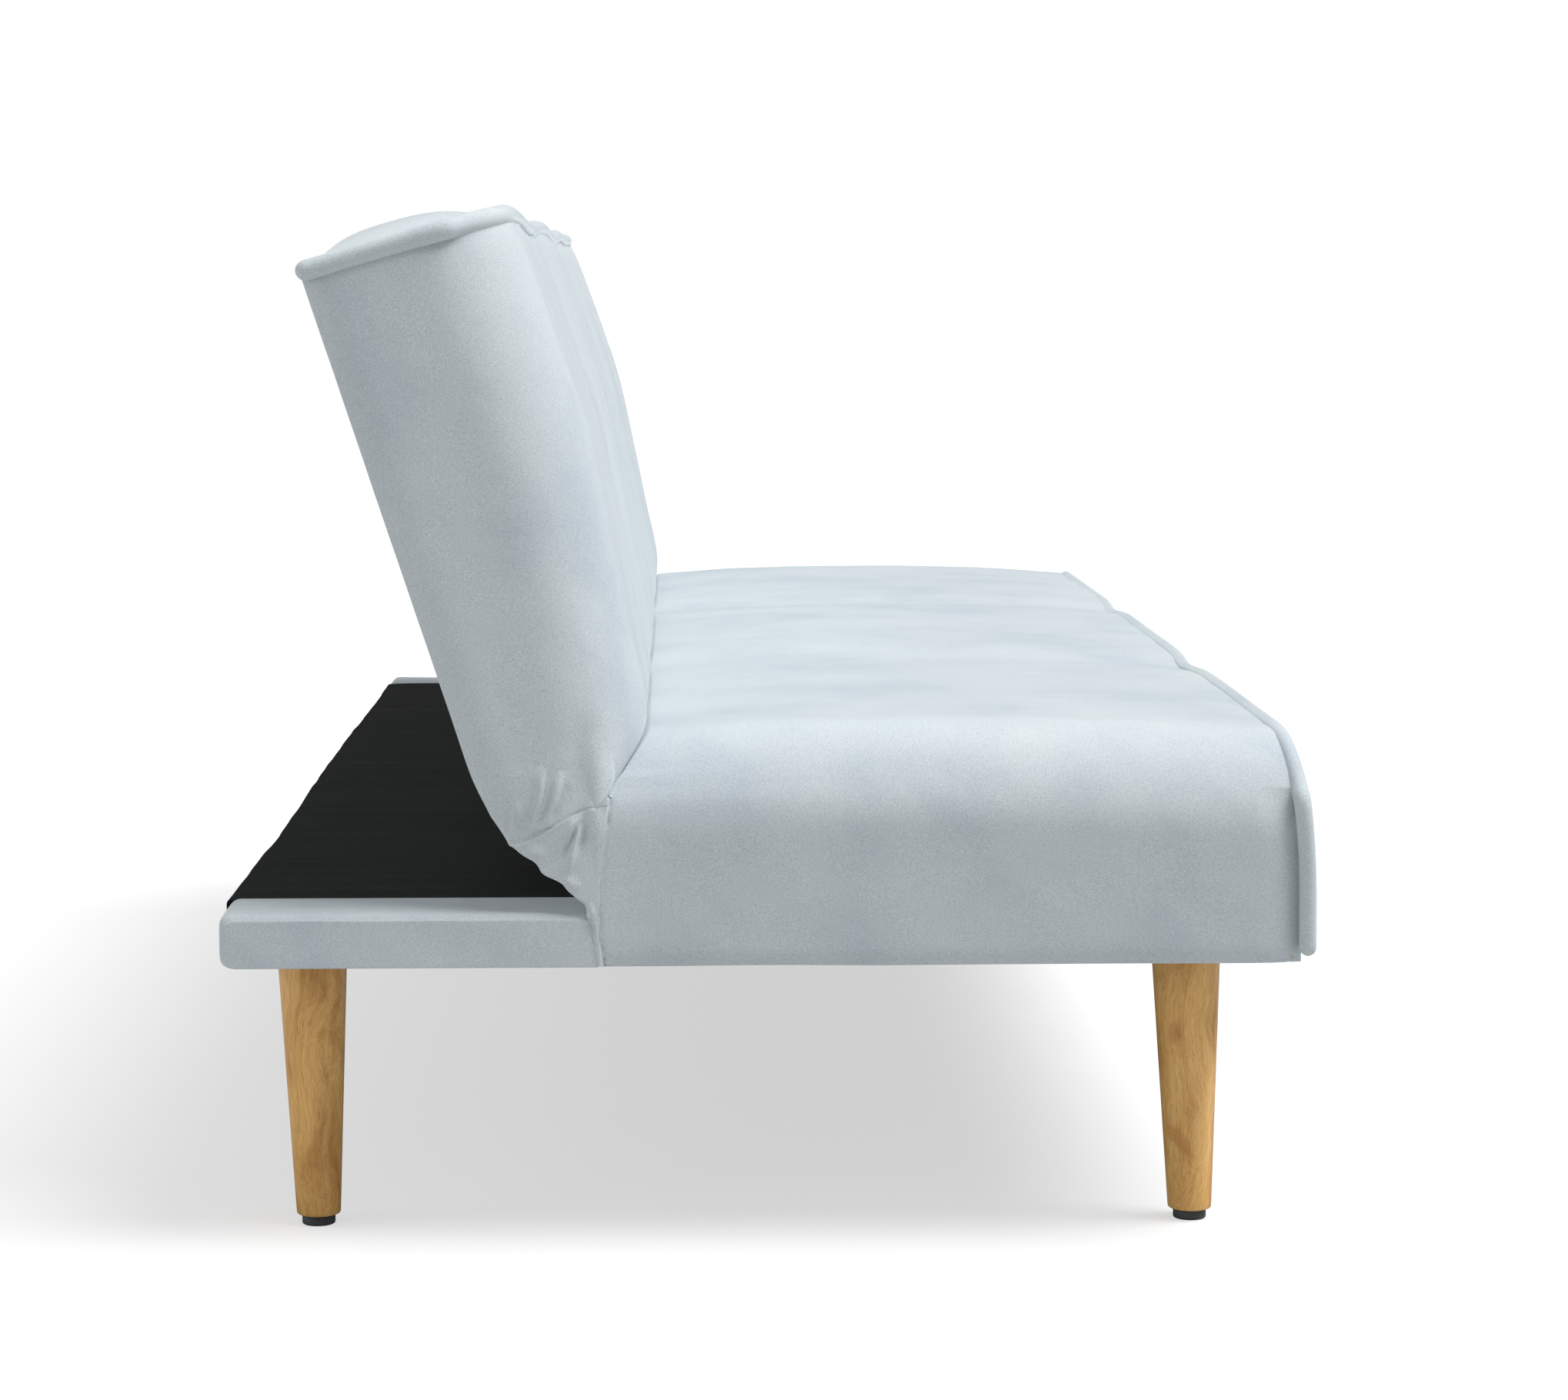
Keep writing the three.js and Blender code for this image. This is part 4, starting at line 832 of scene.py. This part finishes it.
def patch(first, last, low, high):
    """A grid between four lines: first to last across its rows, and low to high along them."""
    rows, columns = len(low) - 1, len(first) - 1
    u, v = shares(rows, ROWS_CLOSER)[:, None, None], np.linspace(0, 1, columns + 1)[None, :, None]
    along = (1 - u) * first[None] + u * last[None]
    across = (1 - v) * low[:, None] + v * high[:, None]
    corners = (1 - u) * ((1 - v) * first[0] + v * first[-1]) + u * ((1 - v) * last[0] + v * last[-1])
    return along + across - corners


def make_gussets(back_skin, seat_skin):
    lap, fall = 60, 100
    seam = spread(curved(SEAM, 200), CLOTH_ACROSS, 0.5)
    over = patch(spread(curved(LAP_TOP, 200), CLOTH_ACROSS, 0.5), seam,
                 *[spread(curved(line, 200), lap, ROWS_CLOSER) for line in (LAP_REAR, LAP_CREASE)])
    below = patch(seam, spread(CLOTH_FOOT, CLOTH_ACROSS, 0.5),
                  *[spread(curved(line, 300), fall, ROWS_CLOSER) for line in (HEM, SEAT_SEAM)])
    flat = np.vstack([over[:-1], below])
    rows = len(flat)
    row_run = np.linalg.norm(np.diff(flat, axis=0), axis=2)
    to_row = np.vstack([np.zeros(CLOTH_ACROSS + 1), np.cumsum(row_run, axis=0)])
    to_seam = to_row - to_row[lap]
    from_hem = np.linalg.norm(flat - flat[:, :1], axis=2)
    from_seat = np.linalg.norm(flat - flat[:, -1:], axis=2)
    fold = folds(flat.reshape(-1, 2), CLOTH_FOLDS).reshape(from_hem.shape)
    inside = ramp(from_hem, 0.5, 7) * ramp(from_seat, 0, 5)
    for name, side in sides:
        level = np.zeros(from_hem.shape)
        for i, j in np.ndindex(lap + 1, CLOTH_ACROSS + 1):
            y, z = flat[i, j]
            hit = back_skin.ray_cast(Vector((side * (END + 40), y, z)), Vector((-side, 0, 0)))[0]
            level[i, j] = abs(hit.x) if hit else np.nan
        for i in range(lap + 1):
            known = np.nonzero((~np.isnan(level[i])) & (level[i] > END - 14))[0]
            level[i] = np.interp(np.arange(CLOTH_ACROSS + 1), known, level[i, known])
        for _ in range(24):
            wide = np.pad(level[:lap + 1], 1, mode="edge")
            level[:lap + 1] = (wide[:-2, 1:-1] + wide[2:, 1:-1] + wide[1:-1, :-2] + wide[1:-1, 2:]) / 4
        share = ramp(to_seam[lap:], 0, 60)
        level[lap:] = level[lap] * (1 - share) + (END + 0.9) * share
        lift = 1.4 * ramp(to_row, 0, 30) - 0.8
        out = level + lift + fold * inside * ramp(to_row, 2, 20)
        out -= 1.0 * np.exp(-((to_seam / 0.9) ** 2)) * ramp(from_seat, 2, 14)
        out += 0.3 * np.exp(-(((to_seam - 2.4) / 1.6) ** 2)) * ramp(from_seat, 8, 24)
        turn = 1 - np.clip(from_hem / 3, 0, 1)
        out -= 3 * (1 - np.sqrt(1 - turn**2))
        turn = 1 - np.clip(from_seat / 3, 0, 1)
        out -= 3 * (1 - np.sqrt(1 - turn**2))
        tucks = []
        for depth in np.linspace(CLOTH_TUCK, 0, 6, endpoint=False):
            tucks.append(np.concatenate([flat[:, 0], (out[:, 0] - depth)[:, None]], axis=1))
        deep = np.concatenate([flat[:, -1], (out[:, -1] - 3)[:, None]], axis=1)
        face = np.concatenate([flat, out[..., None]], axis=2)
        grid = np.concatenate([np.stack(tucks, axis=1), face, deep[:, None]], axis=1)
        grid = np.stack([side * grid[..., 2], grid[..., 0], grid[..., 1]], axis=2)
        points, faces = cloth_grid(grid if side < 0 else grid[:, ::-1], CLOTH_THICKNESS)
        gusset = make_piece(f"hinge_gusset_cloth_{name}", points, faces, velvet)
        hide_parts(f"hinge_gusset_{name}")
        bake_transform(gusset)


def make_flap():
    foot = from_back(BACK_REAR - BACK_FOOT_INSET - 7, BACK_FOOT_RISE - 0.9)
    land = (SEAT_REAR + 7, DECK_TOP + 1.9)
    profile = curved([foot, (foot[0] * 0.5 + land[0] * 0.5 - 2, foot[1] * 0.5 + land[1] * 0.5 + 2), land,
                      (land[0] - 5, land[1])], 22)
    x = np.linspace(-END + 5.6, END - 5.6, 240)
    grid = np.zeros((len(x), len(profile), 3))
    grid[..., 0] = x[:, None]
    grid[..., 1:] = profile
    loose = np.sin(np.linspace(0, math.pi, len(profile)))
    wave = ripple(grid.reshape(-1, 3) * (1, 0.3, 0.3), 26, 51).reshape(grid.shape[:2])
    grid[..., 1] += 1.6 * wave * loose
    grid[..., 2] += 1.2 * wave * loose
    points, faces = cloth_grid(grid, CLOTH_THICKNESS)
    flap = make_piece("hinge_flap_cloth", points, faces, velvet)
    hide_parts("hinge_flap")
    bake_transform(flap)


# Deck and underside

def make_deck_cloth():
    low, high = mm_box("deck_lining")
    lip = low[2]
    corner = 3
    profile = [(low[1], high[2]), (high[1] - corner, high[2])]
    for turn in np.linspace(0, math.pi / 2, 6)[1:]:
        profile.append((high[1] - corner * (1 - math.sin(turn)), high[2] - corner * (1 - math.cos(turn))))
    profile.append((high[1], lip))
    profile = np.vstack([spread(profile[:2], 60), spread(profile[1:], 14)[1:]])
    x = np.linspace(-high[0], high[0], 480)
    grid = np.zeros((len(x), len(profile), 3))
    grid[..., 0] = x[:, None]
    grid[..., 1:] = profile
    flat = grid.reshape(-1, 3)
    slack = ripple(flat * (1, 0.06, 0), 11, 61) + 1.2 * ripple(flat * (1, 0.1, 0), 37, 62)
    inside = ramp(high[1] - flat[:, 1], 2, 30) * ramp(flat[:, 1] - low[1], 0, 12)
    grid[..., 2] += (0.3 * (slack + 2.2) * inside).reshape(grid.shape[:2])
    hem = ripple(flat * (1, 0, 0), 43, 63).reshape(grid.shape[:2])
    grid[..., 2] += 1.6 * hem * ramp(high[2] - grid[..., 2], 5, 10)
    edge = ripple(flat * (1, 0, 0), 150, 64).reshape(grid.shape[:2]) + 0.3 * hem
    grid[..., 1] += 1.6 * (1 + edge) * ramp(grid[..., 1], high[1] - 14, high[1] - 4)
    points, faces = cloth_grid(grid, 0.8)
    cloth = make_piece("deck_cloth", points, faces, lining)
    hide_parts("deck_lining")
    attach(cloth, "base")


def make_wraps():
    up, along = 16, 70
    stations = WRAP_START + (WRAP_END - WRAP_START) * shares(26, CLOSER)
    front = SEAT_REAR + 0.3

    def section(x):
        into = min(0.9, max(0, x - WRAP_END + WRAP_ROUND) / WRAP_ROUND)
        inset = WRAP_ROUND * (1 - math.sqrt(1 - into**2))
        high, rear = DECK_TOP - inset, DECK_REAR - inset
        turn = np.linspace(0, math.pi / 2, 9)
        arc = WRAP_ROUND * (1 - np.column_stack([np.sin(turn), np.cos(turn)]))
        above = [(rear - y, high - z) for y, z in arc]
        under = [(rear - y, DECK_LOW + z) for y, z in arc[::-1]]
        return around(([(front, DECK_LOW), (front, high)], up), ([(front, high), *above[:5]], along),
                      ([*above[4:], *under[:5]], up), ([*under[4:], (front, DECK_LOW)], along))

    for name, side in sides:
        points, faces, _ = closed_form(stations, section, up, along)
        points = smoothed(points, faces, 2)
        normal = outward(points, faces)
        swell = 0.7 * ripple(points, 60, 71) + 0.3 * ripple(points, 22, 72)
        outer = ramp(points[:, 0], WRAP_START + 3, WRAP_START + 14)
        points = points + normal * (swell * outer * ramp(points[:, 2], DECK_LOW, DECK_LOW + 15))[:, None]
        inner = ramp(END - points[:, 0], HEM_RIM, HEM_RIM + 4) * ramp(DECK_REAR - points[:, 1], HEM_RIM, HEM_RIM + 4)
        points[:, 2] += HEM_RISE * inner * ramp(-normal[:, 2], 0.8, 0.95)
        if side < 0:
            points[:, 0] *= -1
            faces = [f[::-1] for f in faces]
        wrap = make_piece(f"deck_end_cloth_{name}", points, faces, velvet)
        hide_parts(f"deck_wrap_{name}")
        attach(wrap, "base")


def make_rear_cloth():
    low, high = mm_box("deck_rear_cloth")
    x = np.linspace(low[0], high[0], 300)
    heights = np.linspace(low[2], high[2], 16)
    grid = np.zeros((len(x), len(heights), 3))
    grid[..., 0] = x[:, None]
    grid[..., 1] = high[1] - 0.6
    grid[..., 2] = heights
    flat = grid.reshape(-1, 3)
    grid[..., 1] += (0.5 * ripple(flat, 45, 81) + 0.2 * ripple(flat, 18, 82)).reshape(grid.shape[:2])
    points, faces = cloth_grid(grid[:, ::-1], 2.4)
    cloth = make_piece("deck_rear_face", points, faces, velvet)
    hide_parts("deck_rear_cloth")
    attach(cloth, "base")


def make_dust_cover():
    low, high = mm_box("dust_cover")
    plates = [mm_box(f"leg_plate_{end}_{name}") for end in ("front", "rear") for name, _ in sides]
    margin = 3
    cuts = [np.array([value for box in plates for value in (box[0][axis] - margin, box[1][axis] + margin)])
            for axis in (0, 1)]
    x = np.unique(np.round(np.concatenate([np.linspace(low[0], high[0], 150), cuts[0]]), 3))
    y = np.unique(np.round(np.concatenate([np.linspace(low[1], high[1], 70), cuts[1]]), 3))
    grid = np.zeros((len(x), len(y), 3))
    grid[..., 0] = x[:, None]
    grid[..., 1] = y
    flat = grid.reshape(-1, 3)
    sag = np.minimum(ramp(high[0] - np.abs(grid[..., 0]), 0, 160), ramp(high[1] - np.abs(grid[..., 1]), 0, 130))
    wave = ripple(flat * (1, 1, 0), 60, 91).reshape(sag.shape)
    grid[..., 2] = high[2] - sag * (0.7 + 0.5 * wave)
    middle = (x[:-1] + x[1:]) / 2, (y[:-1] + y[1:]) / 2
    keep = np.ones((len(x) - 1, len(y) - 1), bool)
    for box in plates:
        inside = [(m > box[0][axis] - margin) & (m < box[1][axis] + margin) for axis, m in enumerate(middle)]
        keep &= ~(inside[0][:, None] & inside[1][None])
    points, faces = cloth_grid(grid, 0.8, keep)
    cover = make_piece("dust_cover_cloth", points, faces, lining)
    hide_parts("dust_cover")
    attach(cover, "base")


# Legs and glides

def make_legs():
    honey = [(0.56, 0.285, 0.065), (0.72, 0.41, 0.125), (0.8, 0.5, 0.19)]
    rounding = 2
    for end in ("front", "rear"):
        for name, side in sides:
            glide_low, glide_high = mm_box(f"glide_{end}_{name}")
            leg_low, leg_high = mm_box(f"leg_{end}_{name}")
            plate_low, plate_high = mm_box(f"leg_plate_{end}_{name}")
            x, y_top = (plate_low[:2] + plate_high[:2]) / 2
            y_foot = (glide_low[1] + glide_high[1]) / 2
            foot, top = leg_low[2], plate_low[2] - 0.3
            top_radius = (leg_high[0] - leg_low[0]) / 2
            foot_radius = top_radius - 10
            profile = [(foot_radius - rounding * (1 - math.sin(t)), foot + rounding * (1 - math.cos(t)))
                       for t in np.linspace(0, math.pi / 2, 6)]
            profile += [(foot_radius + (top_radius - foot_radius) * share, foot + rounding + (top - foot - rounding) * share)
                        for share in np.linspace(0, 1, 30)[1:]]
            points, faces = turned_form(profile, 64, (x, y_top))
            points[:, 1] += (y_foot - y_top) * (top - points[:, 2]) / (top - foot)
            offset = (0.31 * side, 0.17 if end == "rear" else 0, 0.07 * side)
            wood = wood_material(f"leg_wood_{end}_{name}", *honey, 0.42, offset, figure=1.0)
            leg = make_piece(f"leg_turned_{end}_{name}", points, faces, wood)
            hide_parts(f"leg_{end}_{name}")
            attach(leg, "base")
            radius, height = (glide_high[0] - glide_low[0]) / 2, glide_high[2]
            rim = [(radius - 1.5 * (1 - math.sin(t)), 1.5 * (1 - math.cos(t))) for t in np.linspace(0, math.pi / 2, 5)]
            points, faces = turned_form([*rim, (radius, height - 0.6), (radius - 0.6, height)], 48, (x, y_foot))
            glide = make_piece(f"glide_turned_{end}_{name}", points, faces, glide_plastic)
            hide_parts(f"glide_{end}_{name}")
            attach(glide, "base")


# Camera: at the sofa's left end, looking along it

def look_through_camera():
    data = bpy.data.cameras.new("camera")
    camera = bpy.data.objects.new("camera", data)
    scene.collection.objects.link(camera)
    width_px, height_px, focal_px = 2038, 1820, 4923
    vanishing_px = (880, 377)
    shift_y = -0.14
    data.sensor_fit = "HORIZONTAL"
    data.sensor_width = 36
    data.lens = focal_px / width_px * data.sensor_width
    data.shift_y = shift_y
    yaw = math.atan((width_px / 2 - vanishing_px[0]) / focal_px)
    pitch = math.atan((height_px / 2 - vanishing_px[1] + shift_y * width_px) / focal_px)
    camera.location = (-3.776, 0.0705, 0.733)
    forward = Vector((math.cos(yaw) * math.cos(pitch), -math.sin(yaw) * math.cos(pitch), -math.sin(pitch)))
    camera.rotation_mode = "QUATERNION"
    camera.rotation_quaternion = forward.to_track_quat("-Z", "Y")
    scene.camera = camera


# Studio

def make_floor():
    """A white floor. To the camera its shadows are lighter, as in the photograph."""
    half = 40
    mesh = bpy.data.meshes.new("floor")
    mesh.from_pydata([(-half, -half, 0), (half, -half, 0), (half, half, 0), (-half, half, 0)], [], [(0, 1, 2, 3)])
    paint = Paint("floor_white", (0.52, 0.52, 0.52), 0.9)
    grain = paint.noise(3, 2, 0.5)
    plain = paint.colors(grain, [(0.3, (0.51, 0.51, 0.51)), (0.7, (0.53, 0.53, 0.53))])
    pale = paint.colors(grain, [(0.3, (0.94, 0.94, 0.94)), (0.7, (0.96, 0.96, 0.96))])
    seen = paint.add("ShaderNodeLightPath").outputs["Is Camera Ray"]
    paint.link(paint.mixed("MIX", seen, plain, pale), paint.shader.inputs["Base Color"])
    white = paint.add("ShaderNodeEmission")
    white.inputs["Strength"].default_value = 1
    mix = paint.add("ShaderNodeMixShader")
    paint.link(paint.math("MULTIPLY", seen, 0.6), mix.inputs["Fac"])
    paint.link(paint.shader.outputs["BSDF"], mix.inputs[1])
    paint.link(white.outputs["Emission"], mix.inputs[2])
    paint.link(mix.outputs["Shader"], paint.tree.nodes["Material Output"].inputs["Surface"])
    mesh.materials.append(paint.material)
    floor = bpy.data.objects.new("floor", mesh)
    scene.collection.objects.link(floor)


def light_studio():
    for name, energy, angle, towards in [("overhead", 3.9, 40, (0.05, 0.55, -1)), ("behind", 0.7, 60, (0.1, -1, -0.35))]:
        data = bpy.data.lights.new(name, "SUN")
        data.energy = energy
        data.angle = math.radians(angle)
        light = bpy.data.objects.new(name, data)
        light.location = (0, 0, 3)
        light.rotation_euler = Vector(towards).to_track_quat("-Z", "Y").to_euler()
        scene.collection.objects.link(light)
    world = bpy.data.worlds.new("world")
    scene.world = world
    world.use_nodes = True
    nodes, links = world.node_tree.nodes, world.node_tree.links
    around = nodes["Background"]
    around.inputs["Color"].default_value = (1, 1, 1, 1)
    around.inputs["Strength"].default_value = 0.35
    seen = nodes.new("ShaderNodeBackground")
    seen.inputs["Strength"].default_value = 1
    path = nodes.new("ShaderNodeLightPath")
    mix = nodes.new("ShaderNodeMixShader")
    links.new(path.outputs["Is Camera Ray"], mix.inputs["Fac"])
    links.new(around.outputs["Background"], mix.inputs[1])
    links.new(seen.outputs["Background"], mix.inputs[2])
    links.new(mix.outputs["Shader"], nodes["World Output"].inputs["Surface"])
    seen.inputs["Color"].default_value = (1, 1, 1, 1)
    scene.view_settings.view_transform = "Standard"


look_through_camera()
finish_kept_nodes()
seat_skin = make_seat()
back_skin = make_back()
make_piping()
make_deck_cloth()
make_gussets(back_skin, seat_skin)
make_flap()
make_wraps()
make_rear_cloth()
make_dust_cover()
make_legs()
make_floor()
light_studio()
